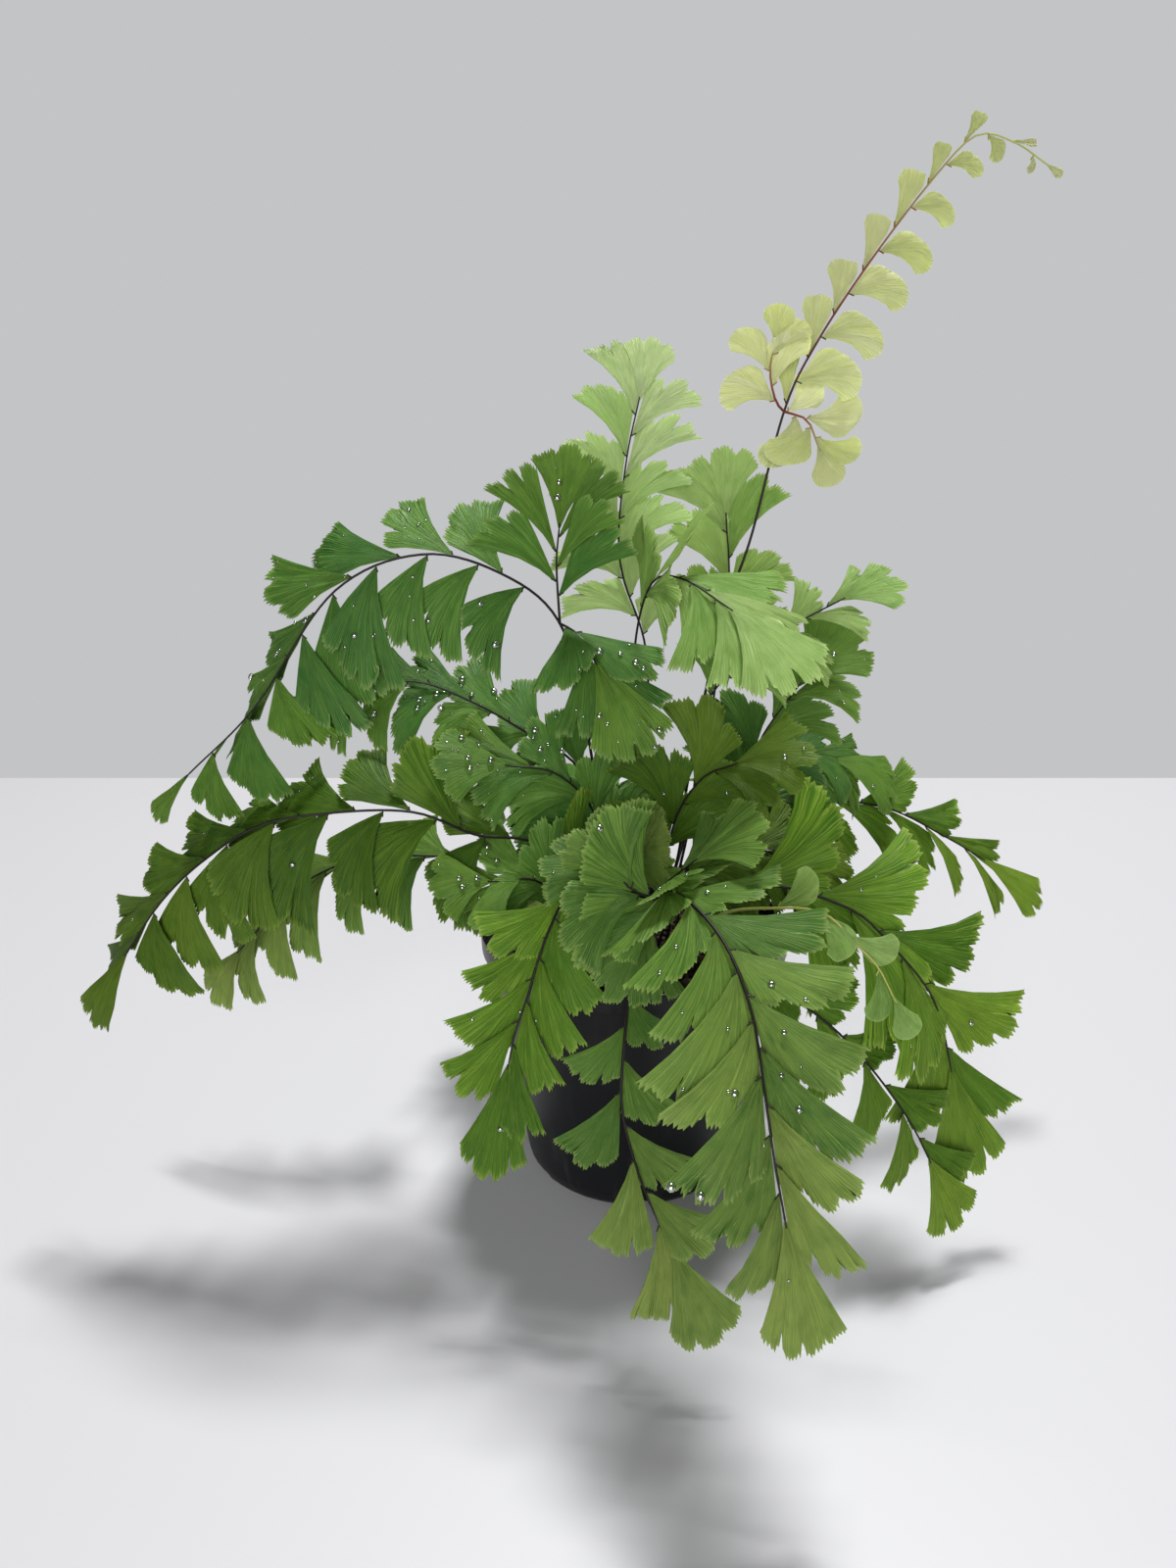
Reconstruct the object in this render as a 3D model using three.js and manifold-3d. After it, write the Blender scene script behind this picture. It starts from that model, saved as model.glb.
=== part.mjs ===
// Potted maidenhair fern: a plastic nursery pot filled with soil, and the fronds that rise from
// its crown. Every frond is one solid, a wiry stalk and midrib with fan-shaped leaflets grown
// along it by rule. Millimetres, +Z up, the origin at the middle of the pot's underside. The
// front is -Y.

import * as THREE from 'three';
import { mergeVertices } from 'three/addons/utils/BufferGeometryUtils.js';
import Module from 'manifold-3d';

const wasm = await Module();
wasm.setup();

// ---- Driving dimensions ----------------------------------------------------------------------

const GAP = 0.3; // clearance between neighbouring solids

const pot = {
  rimRadius: 60,
  height: 102,
  lipHeight: 9, // the upright band round the mouth
  lipStep: 2.6, // how far the band stands out from the wall
  baseRadius: 42,
  baseRound: 5,
  wall: 1.6,
  drains: 6,
  drainWidth: 11,
  drainHeight: 3.5,
  drainReach: 8, // how far a drain cuts in from the foot
  sides: 24, // of the pot and of the soil, whose flats lie along the pot's
};

const soil = {
  top: 88,
  crumb: 1.6, // unevenness of the surface
  ring: 0.6, // share of the radius where the surface has a ring of points
};

const stem = {
  foot: 76, // the height at which every stalk stands in the soil
  baseRadius: 1.25, // from the middle of a three-sided stem to its corners
  branchRadius: 1.0,
  tipRadius: 0.75,
  step: 20, // length of one straight piece below the leaflets
  before: 0.25, // how far before each leaflet a piece begins, as a share of their spacing
};

const hole = { // five-sided, along the stalk that stands in it
  radius: (stem.baseRadius + GAP + 0.1) / Math.cos(Math.PI / 5),
  below: 0.8,
  above: 6,
};

const blade = {
  thickness: 0.65,
  rootSink: 0.6, // how far a leaflet runs past the middle of its stem
  neck: 2, // from the middle of the stem to where the blade begins to fan out
  neckWidth: 1.6,
  spread: 74, // degrees from the lower margin of a side leaflet to its inner margin
  clearOfStem: 84, // the inner margin stays this side of the stem's own direction
  tipSpread: 64, // degrees across a leaflet that ends a stem
  tilt: 8, // degrees by which each blade's forward edge lies under the next blade
  bend: 0.7, // radians of droop above which a blade gets a bend across its middle
  middle: 0.52, // the share of the length where that bend is
  notch: 0.87, // reach of the cuts between lobes and of the corners, as a share of a lobe's
  square: 2.8, // power of the curve that rounds the outer margin
  large: 37, // leaflets longer than this have four lobes and not three
};

// A leaflet that would touch another frond, or cut through its neighbour, takes the first of
// these places that is clear: turned about its stem and tilted about its own line, in degrees,
// or made smaller.
const PLACES = [];
for (const shrink of [1, 0.8]) {
  for (const turn of [0, 10, -10, 20, -20, 34, -34]) {
    for (const tilt of [0, 9, -9]) PLACES.push({ turn, tilt, shrink });
  }
}
const CROSSING = 0.02; // cubic millimetres by which blades of one frond may run together

// ---- The fronds ------------------------------------------------------------------------------
// A frond's first spray runs from its foot in the soil to its tip, and the others branch from it.
// path: points of the midrib; count: side leaflets; from, to: shares of the length that they
// fill; size: length of a leaflet; grow: its share at the base, middle and tip; wide: breadth as
// a share of length; faces, tipFaces: where the upper sides look; lean, tipLean: degrees towards
// the tip; split: degrees more on the first side and less on the other; fold, tipFold: degrees
// by which both sides fall back from the face; droop: how far a leaflet bends over, in radians;
// hang: how strongly it falls; first: side of the first leaflet; tip: size of the leaflet that
// ends the spray; fan: degrees across that one; round: young, with a plain round margin.

const fronds = {
  frond_high_left: { tone: 0x2f6d2a, sprays: [
    { path: [[-12, 2, 76], [-13, 2, 138], [-20, -3, 190], [-28, -6, 221], [-45, -12, 238],
             [-73, -18, 247], [-104, -22, 235], [-134, -24, 195], [-158, -28, 172]],
      count: 17, from: 0.52, to: 0.965, size: 37, grow: [0.85, 1.05, 0.75], wide: 0.58,
      faces: [0, -0.8, 0.6], tipFaces: [-0.35, -0.85, 0.4], lean: 2, tipLean: 22, split: -12,
      fold: 8, tipFold: 50, droop: 0.4, hang: 0.05, first: -1, tip: 0.75, fan: 44 },
    { path: [[-28, -6, 221], [-29, -8, 242], [-28, -8, 254]],
      count: 5, from: 0.3, to: 0.92, size: 30, grow: [0.95, 1, 1], wide: 0.52,
      faces: [0, -0.8, 0.6], lean: 30, tipLean: 46, droop: 0.4, first: 1, tip: 0.95 },
    { path: [[-28, -6, 221], [-22, -14, 219], [-16, -20, 211]],
      count: 4, from: 0.2, to: 0.9, size: 32, grow: [0.9, 1, 1], wide: 0.55,
      faces: [0, -0.6, 0.8], lean: 20, tipLean: 40, droop: 0.7, first: 1, tip: 1.15 },
  ] },
  frond_mid_left: { tone: 0x2c6729, sprays: [
    { path: [[-9, 9, 76], [-10, 14, 125], [-21, 10, 161], [-43, 7, 178], [-62, 4, 190],
             [-83, 2, 198], [-109, -3, 194]],
      count: 12, from: 0.47, to: 0.95, size: 32, grow: [0.95, 1, 0.75], wide: 0.52,
      faces: [0, -0.7, 0.7], lean: 12, tipLean: 40, split: 6, droop: 0.8, hang: 0.12, first: 1,
      tip: 1.0 },
  ] },
  frond_low_left: { tone: 0x2c6526, sprays: [
    { path: [[-16, -5, 76], [-20, -12, 124], [-38, -20, 143], [-58, -28, 149], [-79, -32, 159],
             [-106, -35, 160], [-132, -37, 156], [-153, -38, 143], [-169, -39, 128],
             [-183, -40, 109]],
      count: 17, from: 0.35, to: 0.965, size: 37, grow: [0.85, 1.05, 0.85], wide: 0.62,
      faces: [0, -0.75, 0.65], lean: 6, tipLean: 24, split: 8, fold: 5, tipFold: 28, droop: 0.35,
      hang: 0.1, first: 1, tip: 1.0, fan: 44 },
  ] },
  frond_back_left: { tone: 0x47822f, sprays: [
    { path: [[-18, 8, 76], [-24, 12, 106], [-49, 14, 120], [-84, 14, 124], [-110, 12, 123],
             [-131, 10, 114], [-145, 9, 100], [-158, 8, 86]],
      count: 10, from: 0.46, to: 0.95, size: 33, grow: [0.9, 1, 0.85], wide: 0.58,
      faces: [0, -0.7, 0.7], lean: 10, tipLean: 26, droop: 0.6, hang: 0.4, first: 1, tip: 1 },
  ] },
  frond_front_left: { tone: 0x4c8a32, sprays: [
    { path: [[-9, -10, 76], [-14, -28, 119], [-21, -46, 142], [-25, -55, 139], [-32, -66, 127],
             [-38, -75, 110], [-42, -80, 99], [-44, -83, 90]],
      count: 10, from: 0.52, to: 0.955, size: 33, grow: [0.85, 0.95, 0.9], wide: 0.62,
      faces: [0, -0.85, 0.5], lean: 14, tipLean: 44, droop: 0.3, first: 1, tip: 1.4, fan: 44 },
  ] },
  frond_front: { tone: 0x558f36, sprays: [
    { path: [[0, -15, 76], [-1, -40, 115], [4, -68, 144], [12, -88, 151], [22, -109, 146],
             [28, -128, 134], [30, -144, 119], [32, -153, 104], [35, -158, 88]],
      count: 16, from: 0.42, to: 0.965, size: 40, grow: [0.8, 1, 0.75], wide: 0.5,
      faces: [0, -0.6, 0.8], tipFaces: [0, -0.95, 0.3], lean: 10, tipLean: 40, droop: 0.4,
      first: -1, tip: 1.35, fan: 44 },
    { path: [[4, -68, 144], [8, -72, 150], [15, -74, 157]],
      count: 2, from: 0.35, to: 0.75, size: 24, grow: [1, 1, 1], wide: 0.7,
      faces: [0, -0.4, 0.9], lean: 20, tipLean: 30, droop: 0.4, first: 1, tip: 1.1 },
  ] },
  frond_front_small: { tone: 0x5a9238, sprays: [
    { path: [[-4, -21, 76], [-4, -50, 110], [-4, -66, 110], [-6, -80, 96], [-7, -90, 78],
             [-3, -100, 64], [2, -109, 54], [8, -116, 44]],
      count: 8, from: 0.45, to: 0.95, size: 24, grow: [0.8, 1, 1.1], wide: 0.7,
      faces: [0, -0.9, 0.4], lean: 22, tipLean: 38, droop: 0.3, first: -1, tip: 1.25, fan: 54 },
  ] },
  frond_right_low: { tone: 0x356f28, sprays: [
    { path: [[10, -8, 76], [17, -14, 116], [47, -22, 127], [77, -30, 121], [91, -36, 110],
             [103, -42, 97], [109, -46, 85], [113, -50, 68]],
      count: 9, from: 0.4, to: 0.96, size: 41, grow: [1.2, 1.1, 0.9], wide: 0.55,
      faces: [0.1, -0.75, 0.65], lean: 12, tipLean: 32, droop: 0.35, first: -1, tip: 1.1,
      fan: 54 },
  ] },
  frond_right_under: { tone: 0x3b7a2b, sprays: [
    { path: [[8, -16, 76], [19, -38, 103], [41, -50, 103], [63, -57, 92], [80, -62, 76],
             [95, -66, 56], [102, -69, 43]],
      count: 8, from: 0.42, to: 0.95, size: 28, grow: [0.95, 1, 0.9], wide: 0.58,
      faces: [0.3, -0.8, 0.5], lean: 18, tipLean: 30, droop: 0.4, first: 1, tip: 1.15 },
  ] },
  frond_far_right: { tone: 0x3f7d2d, sprays: [
    { path: [[16, 8, 76], [36, 22, 112], [52, 30, 130], [77, 38, 138], [107, 42, 134],
             [134, 44, 120], [149, 44, 111]],
      count: 10, from: 0.42, to: 0.95, size: 34, grow: [0.95, 1, 0.9], wide: 0.48,
      faces: [0.2, -0.7, 0.7], lean: 22, tipLean: 54, droop: 0.45, first: -1, tip: 1.1,
      fan: 40 },
  ] },
  frond_mid_right: { tone: 0x336e2a, sprays: [
    { path: [[12, 14, 76], [34, 27, 115], [46, 32, 149], [51, 34, 165], [57, 36, 175],
             [66, 38, 187]],
      count: 7, from: 0.5, to: 0.95, size: 30, grow: [1, 1, 1], wide: 0.52,
      faces: [0.1, -0.6, 0.8], lean: 26, tipLean: 40, droop: 0.7, first: 1, tip: 1.1 },
    { path: [[46, 32, 149], [62, 36, 157], [71, 38, 159], [82, 40, 156]],
      count: 5, from: 0.35, to: 0.9, size: 28, grow: [1, 1, 1], wide: 0.52,
      faces: [0.1, -0.6, 0.8], lean: 30, tipLean: 40, droop: 0.9, first: 1, tip: 1.2 },
  ] },
  frond_top: { tone: 0x6aa63f, sprays: [
    { path: [[0, 18, 76], [8, 34, 126], [7, 40, 162], [5, 44, 202], [-4, 46, 229],
             [-6, 46, 248], [-3, 46, 276], [1, 46, 295]],
      count: 12, from: 0.6, to: 0.98, size: 31, grow: [0.9, 0.95, 0.95], wide: 0.45,
      faces: [-0.1, -0.8, 0.6], lean: 22, tipLean: 42, droop: 0.35, first: 1, tip: 0.75,
      fan: 50 },
  ] },
  frond_top_right: { tone: 0x6ba840, sprays: [
    { path: [[7, 21, 76], [23, 40, 124], [32, 46, 169], [36, 48, 209], [38, 48, 229],
             [36, 48, 252]],
      count: 6, from: 0.7, to: 0.97, size: 30, grow: [1, 1, 1], wide: 0.55,
      faces: [0, -0.8, 0.6], lean: 30, tipLean: 45, droop: 0.35, first: 1, tip: 0.9 },
  ] },
  frond_centre: { tone: 0x66a33d, sprays: [
    { path: [[-2, 3, 76], [2, 6, 137], [0, 4, 173], [-1, 0, 211], [4, -12, 236],
             [14, -20, 239], [28, -36, 232]],
      count: 8, from: 0.76, to: 0.97, size: 34, grow: [1, 1, 1.05], wide: 0.5,
      faces: [0, -0.5, 0.85], lean: 14, tipLean: 42, droop: 0.55, first: -1, tip: 1.15 },
  ] },
  frond_right_tip: { tone: 0x62a13f, sprays: [
    { path: [[7, 4, 76], [21, 10, 135], [26, 12, 183], [38, 13, 201], [50, 15, 210],
             [62, 16, 218], [76, 18, 225]],
      count: 7, from: 0.66, to: 0.97, size: 25, grow: [1, 1, 0.95], wide: 0.5,
      faces: [0, -0.6, 0.8], lean: 28, tipLean: 48, droop: 0.6, first: -1, tip: 1.0 },
  ] },
  frond_young: { tone: 0xb7b765, sprays: [
    { path: [[4, 11, 76], [18, 22, 118], [22, 28, 150], [34, 38, 211], [45, 42, 245],
             [56, 45, 292], [67, 47, 316], [86, 50, 345], [108, 50, 374], [121, 50, 386],
             [134, 48, 383], [145, 46, 376]],
      count: 16, from: 0.62, to: 0.985, size: 24, grow: [1, 0.88, 0.25], wide: 0.75,
      faces: [0, -0.9, 0.4], lean: 26, tipLean: 30, split: 22, droop: 0.15, first: -1, tip: 1,
      round: true },
    { path: [[56, 45, 292], [52, 41, 296], [49, 38, 306], [50, 37, 316]],
      count: 4, from: 0.25, to: 0.85, size: 20, grow: [1.3, 1, 0.85], wide: 0.7,
      faces: [0, -0.9, 0.4], lean: 18, tipLean: 32, droop: 0.15, first: -1, tip: 0.8, fan: 74,
      round: true },
    { path: [[56, 45, 292], [64, 40, 289], [68, 37, 280]],
      count: 5, from: 0.08, to: 0.85, size: 20, grow: [1.1, 1.1, 1], wide: 0.75,
      faces: [0, -0.9, 0.4], lean: -30, tipLean: 4, split: 8, droop: 0.15, first: -1, tip: 0.9,
      fan: 74, round: true },
  ] },
  frond_shoot: { tone: 0x9db560, sprays: [
    { path: [[12, -14, 76], [26, -34, 118], [47, -60, 135], [60, -70, 137], [68, -76, 130],
             [75, -80, 124], [80, -84, 115]],
      count: 4, from: 0.62, to: 0.93, size: 19, grow: [1, 1, 0.9], wide: 0.7,
      faces: [0.1, -0.85, 0.5], lean: 24, tipLean: 34, droop: 0.2, first: -1, tip: 0.9,
      round: true },
  ] },
  frond_inner_left: { tone: 0x2a6129, sprays: [
    { path: [[-5, -4, 76], [-8, -5, 120], [-16, -6, 150], [-30, -9, 166], [-46, -13, 170]],
      count: 7, from: 0.5, to: 0.93, size: 30, grow: [1, 1, 0.9], wide: 0.62,
      faces: [0, -0.75, 0.65], lean: 16, tipLean: 34, droop: 0.5, first: 1, tip: 1.1 },
  ] },
  frond_inner_right: { tone: 0x2d672a, sprays: [
    { path: [[4, -4, 76], [9, -8, 120], [15, -11, 150], [24, -14, 166], [34, -18, 172]],
      count: 6, from: 0.5, to: 0.93, size: 30, grow: [1, 1, 0.9], wide: 0.62,
      faces: [0.1, -0.75, 0.65], lean: 18, tipLean: 34, droop: 0.5, first: -1, tip: 1.1 },
  ] },
  frond_inner_front: { tone: 0x4d8b35, sprays: [
    { path: [[-3, -12, 76], [-5, -22, 112], [-5, -34, 136], [0, -44, 148]],
      count: 5, from: 0.55, to: 0.92, size: 25, grow: [1, 1, 0.9], wide: 0.7,
      faces: [0, -0.7, 0.7], lean: 16, tipLean: 34, droop: 0.5, first: -1, tip: 1.1 },
  ] },
  frond_left_short: { tone: 0x3a782d, sprays: [
    { path: [[-14, -14, 76], [-22, -20, 112], [-36, -26, 130], [-52, -33, 133]],
      count: 7, from: 0.5, to: 0.94, size: 26, grow: [0.9, 1, 0.9], wide: 0.64,
      faces: [0, -0.75, 0.65], lean: 16, tipLean: 34, droop: 0.5, first: 1, tip: 1.1 },
  ] },
  frond_rear_left: { tone: 0x33702b, sprays: [
    { path: [[-10, 17, 76], [-15, 34, 118], [-27, 56, 140], [-44, 76, 140], [-57, 90, 122]],
      count: 8, from: 0.42, to: 0.94, size: 31, grow: [0.95, 1, 0.8], wide: 0.56,
      faces: [-0.3, 0.5, 0.8], lean: 14, tipLean: 30, droop: 0.5, first: 1, tip: 1.1 },
  ] },
  frond_rear_right: { tone: 0x3a782d, sprays: [
    { path: [[16, 18, 76], [26, 38, 118], [42, 60, 138], [60, 78, 134], [73, 90, 114]],
      count: 8, from: 0.42, to: 0.94, size: 30, grow: [0.95, 1, 0.8], wide: 0.56,
      faces: [0.3, 0.5, 0.8], lean: 14, tipLean: 30, droop: 0.5, first: -1, tip: 1.1 },
  ] },
};

// ---- Solids ----------------------------------------------------------------------------------

const { cos, sin, abs, hypot, PI } = Math;
const radians = THREE.MathUtils.degToRad;
const UP = new THREE.Vector3(0, 1, 0); // of a cylinder as it is made
const DOWN = new THREE.Vector3(0, 0, -1);

function solidOf(geometry) {
  const bare = geometry.clone();
  bare.deleteAttribute('normal');
  bare.deleteAttribute('uv');
  const merged = mergeVertices(bare, 1e-5);
  return new wasm.Manifold(new wasm.Mesh({
    numProp: 3,
    vertProperties: new Float32Array(merged.attributes.position.array),
    triVerts: new Uint32Array(merged.index.array),
  }));
}

function geometryOf(solid) {
  const mesh = solid.getMesh();
  const geometry = new THREE.BufferGeometry();
  geometry.setAttribute('position', new THREE.BufferAttribute(mesh.vertProperties, 3));
  geometry.setIndex(new THREE.BufferAttribute(mesh.triVerts, 1));
  geometry.computeVertexNormals();
  return geometry;
}

// A closed solid from points and triangles.
function facets(points, triangles) {
  const geometry = new THREE.BufferGeometry().setFromPoints(points);
  geometry.setIndex(triangles.flat());
  return solidOf(geometry);
}

function mix(a, b, share) {
  return a + (b - a) * share;
}

// An irregularity between -1 and 1 that is the same on every run.
function wobble(seed, kind) {
  const x = sin(seed * 12.9898 + kind * 78.233) * 43758.5453;
  return (x - Math.floor(x)) * 2 - 1;
}

// ---- Pot and soil ----------------------------------------------------------------------------

// Outer radius of the tapered wall at a height.
const wallFoot = pot.baseRadius;
const wallTop = pot.rimRadius - pot.lipStep;
function wallRadius(z) {
  return wallFoot + (wallTop - wallFoot) * z / pot.height;
}

function lathe(profile, sides) {
  const geometry = new THREE.LatheGeometry(profile.map(([r, z]) => new THREE.Vector2(r, z)), sides);
  geometry.rotateX(PI / 2);
  return solidOf(geometry);
}

function makePot() {
  const { height, lipHeight, rimRadius, baseRadius, baseRound, wall } = pot;
  const under = height - lipHeight;
  const body = lathe([
    [0, 0],
    [baseRadius - baseRound, 0],
    [wallRadius(baseRound * 0.3) - baseRound * 0.3, baseRound * 0.3],
    [wallRadius(baseRound), baseRound],
    [wallRadius(under), under],
    [rimRadius - 0.4, under + 0.8],
    [rimRadius, height - 1],
    [rimRadius - 0.6, height],
    [rimRadius - wall, height],
    [rimRadius - wall - 0.5, under + wall + 0.8],
    [wallRadius(under) - wall, under - 0.4],
    [wallRadius(baseRound) - wall, baseRound],
    [baseRadius - baseRound, wall],
    [0, wall],
  ], pot.sides);
  const { drains, drainWidth, drainHeight, drainReach } = pot;
  let cut = body;
  for (let i = 0; i < drains; i++) {
    const slot = new THREE.BoxGeometry(drainReach * 2, drainWidth, drainHeight * 2);
    slot.translate(baseRadius, 0, 0);
    slot.rotateZ((i + 0.5) * 2 * PI / drains);
    cut = cut.subtract(solidOf(slot));
  }
  return cut;
}

function makeSoil(feet) {
  const { baseRadius, baseRound, wall } = pot;
  const edge = wallRadius(soil.top) - wall - GAP;
  const profile = [
    [0, wall + GAP],
    [baseRadius - baseRound - GAP, wall + GAP],
    [wallRadius(baseRound) - wall - GAP, baseRound + GAP],
    [edge, soil.top],
    [edge * soil.ring, soil.top],
    [0, soil.top],
  ];
  const geometry = new THREE.LatheGeometry(
    profile.map(([r, z]) => new THREE.Vector2(r, z)), pot.sides);
  geometry.rotateX(PI / 2);
  const bare = geometry.clone();
  bare.deleteAttribute('normal');
  bare.deleteAttribute('uv');
  const merged = mergeVertices(bare, 1e-3);
  const place = merged.attributes.position;
  for (let i = 0; i < place.count; i++) {
    if (place.getZ(i) < soil.top - 1) continue;
    const fall = 1 - 2.5 * (hypot(place.getX(i), place.getY(i)) / edge) ** 2;
    place.setZ(i, soil.top + fall + soil.crumb * wobble(i, 9) * 0.5);
  }
  let ground = solidOf(merged);
  for (const [foot, top] of feet) {
    const along = top.clone().sub(foot);
    const { radius, below, above } = hole;
    const length = below + along.length() + above;
    const drill = new THREE.CylinderGeometry(radius, radius, length, 5);
    drill.translate(0, length / 2 - below, 0);
    drill.applyQuaternion(new THREE.Quaternion().setFromUnitVectors(UP, along.normalize()));
    drill.translate(...foot);
    ground = ground.subtract(solidOf(drill));
  }
  return ground;
}

// ---- Stems -----------------------------------------------------------------------------------

// A smooth line through hand-chosen points, measured by its length.
class Midrib {
  constructor(path) {
    const points = path.map(([x, y, z]) => new THREE.Vector3(x, y, z));
    const curve = new THREE.CatmullRomCurve3(points, false, 'catmullrom', 0.5);
    this.line = curve.getPoints(16 * (points.length - 1));
    this.run = [0];
    for (let i = 1; i < this.line.length; i++) {
      this.run.push(this.run[i - 1] + this.line[i].distanceTo(this.line[i - 1]));
    }
    this.length = this.run.at(-1);
  }

  // The point and the direction at a share of the length.
  at(share) {
    const distance = share * this.length;
    let i = 0;
    while (i < this.line.length - 2 && this.run[i + 1] <= distance) i++;
    const part = (distance - this.run[i]) / (this.run[i + 1] - this.run[i]);
    return {
      point: this.line[i].clone().lerp(this.line[i + 1], part),
      tangent: this.line[i + 1].clone().sub(this.line[i]).normalize(),
    };
  }
}

// The way the upper side of a spray looks, square to its stem: faces at its first leaflet, and
// tipFaces at its last.
function upperSide(spray, share, tangent) {
  const along = THREE.MathUtils.clamp((share - spray.from) / (spray.to - spray.from), 0, 1);
  const faces = new THREE.Vector3(...spray.faces)
    .lerp(new THREE.Vector3(...(spray.tipFaces ?? spray.faces)), along);
  return faces.addScaledVector(tangent, -faces.dot(tangent)).normalize();
}

// Shares of the length at which a stem has a joint: even steps up to the leaflets, then one a
// little before each leaflet, so that every leaflet grows from the flat of one piece.
function stemJoints(spray, midrib) {
  const gap = (spray.to - spray.from) / Math.max(spray.count - 1, 1);
  const bare = spray.from - gap * stem.before;
  const steps = Math.max(1, Math.round(bare * midrib.length / stem.step));
  const joints = Array.from({ length: steps }, (_, i) => bare * i / steps);
  for (let i = 0; i < spray.count; i++) joints.push(spray.from + gap * (i - stem.before));
  return { joints: [...joints, 1], steps };
}

// The straight piece of a stalk that stands in the soil, from end to end.
function stalkFoot(spray) {
  const midrib = new Midrib(spray.path);
  return stemJoints(spray, midrib).joints.slice(0, 2).map((share) => midrib.at(share).point);
}

// A tapered rod bent along the midrib, flat above and keeled below. Below the leaflets its flat
// side turns as little as it can.
function makeStem(spray, midrib, baseRadius) {
  const { joints, steps } = stemJoints(spray, midrib);
  const rings = [];
  let normal;
  for (let i = joints.length - 1; i >= 0; i--) {
    const { point, tangent } = midrib.at(joints[i]);
    if (i >= steps) normal = upperSide(spray, joints[i], tangent);
    else normal = normal.clone().addScaledVector(tangent, -normal.dot(tangent)).normalize();
    const binormal = tangent.clone().cross(normal);
    const radius = mix(baseRadius, stem.tipRadius, joints[i]);
    rings.unshift([0, 1, 2].map((k) => point.clone()
      .addScaledVector(normal, -radius * cos(2 * PI * k / 3))
      .addScaledVector(binormal, radius * sin(2 * PI * k / 3))));
  }
  const triangles = [];
  const last = (rings.length - 1) * 3;
  for (let i = 0; i < last; i += 3) {
    const [keel, left, right] = [i, i + 1, i + 2];
    triangles.push([keel, left + 3, left], [keel, keel + 3, left + 3]);
    triangles.push([left, left + 3, right + 3], [left, right + 3, right]);
    triangles.push([keel, right, right + 3], [keel, right + 3, keel + 3]);
  }
  triangles.push([0, 1, 2], [last, last + 2, last + 1]);
  return facets(rings.flat(), triangles);
}

// ---- Leaflets --------------------------------------------------------------------------------

// Where leaflet i of a spray stands, and which way it goes, in one of its possible places.
function leafletFrame(spray, midrib, seed, i, { turn, tilt, shrink }) {
  const ends = i === spray.count;
  const along = ends ? 1 : i / Math.max(spray.count - 1, 1);
  const share = ends ? 1 : mix(spray.from, spray.to, along);
  const { point, tangent } = midrib.at(share);
  const normal = upperSide(spray, share, tangent);
  const binormal = tangent.clone().cross(normal);
  const draw = (kind) => wobble(seed * 31 + i, kind);

  const [base, middle, tip] = spray.grow;
  const growth = along < 0.5 ? mix(base, middle, along * 2) : mix(middle, tip, along * 2 - 1);
  const length = spray.size * growth * (1 + 0.08 * draw(1)) * (ends ? spray.tip : 1) * shrink;
  const wide = spray.wide * (1 + 0.08 * draw(6));
  const droop = spray.droop * (1 + 0.25 * draw(5));
  const hang = spray.hang ?? 0;

  let out;
  let across;
  let spread = radians(spray.fan ?? blade.tipSpread);
  if (ends) {
    out = tangent.clone().multiplyScalar(cos(radians(turn)))
      .addScaledVector(normal, sin(radians(turn)))
      .addScaledVector(DOWN, 0.3 * hang).normalize();
    across = binormal.addScaledVector(out, -binormal.dot(out)).normalize();
  } else {
    const side = spray.first * (i % 2 ? -1 : 1);
    const lean = radians(mix(spray.lean, spray.tipLean, along)
      + (spray.split ?? 0) * (i % 2 ? -1 : 1) + 5 * draw(2));
    const fold = mix(spray.fold ?? 0, spray.tipFold ?? spray.fold ?? 0, along);
    const lift = radians(6 * draw(3) + turn - fold);
    spread = Math.min(radians(blade.spread), radians(blade.clearOfStem) - lean);
    out = binormal.multiplyScalar(side * cos(lift)).addScaledVector(normal, sin(lift))
      .multiplyScalar(cos(lean)).addScaledVector(tangent, sin(lean))
      .addScaledVector(DOWN, hang).normalize();
    across = tangent.clone().addScaledVector(out, -tangent.dot(out)).normalize();
    // Each blade is tipped a little, so that its forward edge passes under the next one.
    const under = radians(blade.tilt + 5 * draw(4) + tilt);
    const up = out.clone().cross(across);
    if (up.dot(normal) < 0) up.negate();
    across.multiplyScalar(cos(under)).addScaledVector(up, -sin(under)).normalize();
  }
  const heart = point.clone().addScaledVector(out, blade.neck);
  const round = spray.round ?? false;
  return { root: point, heart, out, across, length, wide, droop, ends, spread, round };
}

// The point of a blade at a share r of its length, in the direction phi from its lower margin.
// The blade bends over towards the ground in an arc.
function bladePoint(leaf, r, phi) {
  const heading = leaf.out.clone().multiplyScalar(cos(phi)).addScaledVector(leaf.across, sin(phi));
  const fall = DOWN.clone().addScaledVector(heading, -DOWN.dot(heading));
  const half = leaf.droop * r * fall.length() / 2;
  const reach = r * leaf.length * (abs(half) < 1e-6 ? 1 : sin(half) / half);
  return leaf.heart.clone()
    .addScaledVector(heading, reach * cos(half))
    .addScaledVector(fall.normalize(), reach * sin(half));
}

// The reach of a blade in the direction phi, as a share of its length.
function bladeReach(leaf, phi) {
  if (leaf.ends) return 1 - 0.12 * (2 * phi / leaf.spread) ** 2;
  const { square } = blade;
  return (cos(phi) ** square + (sin(phi) / leaf.wide) ** square) ** (-1 / square);
}

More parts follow.
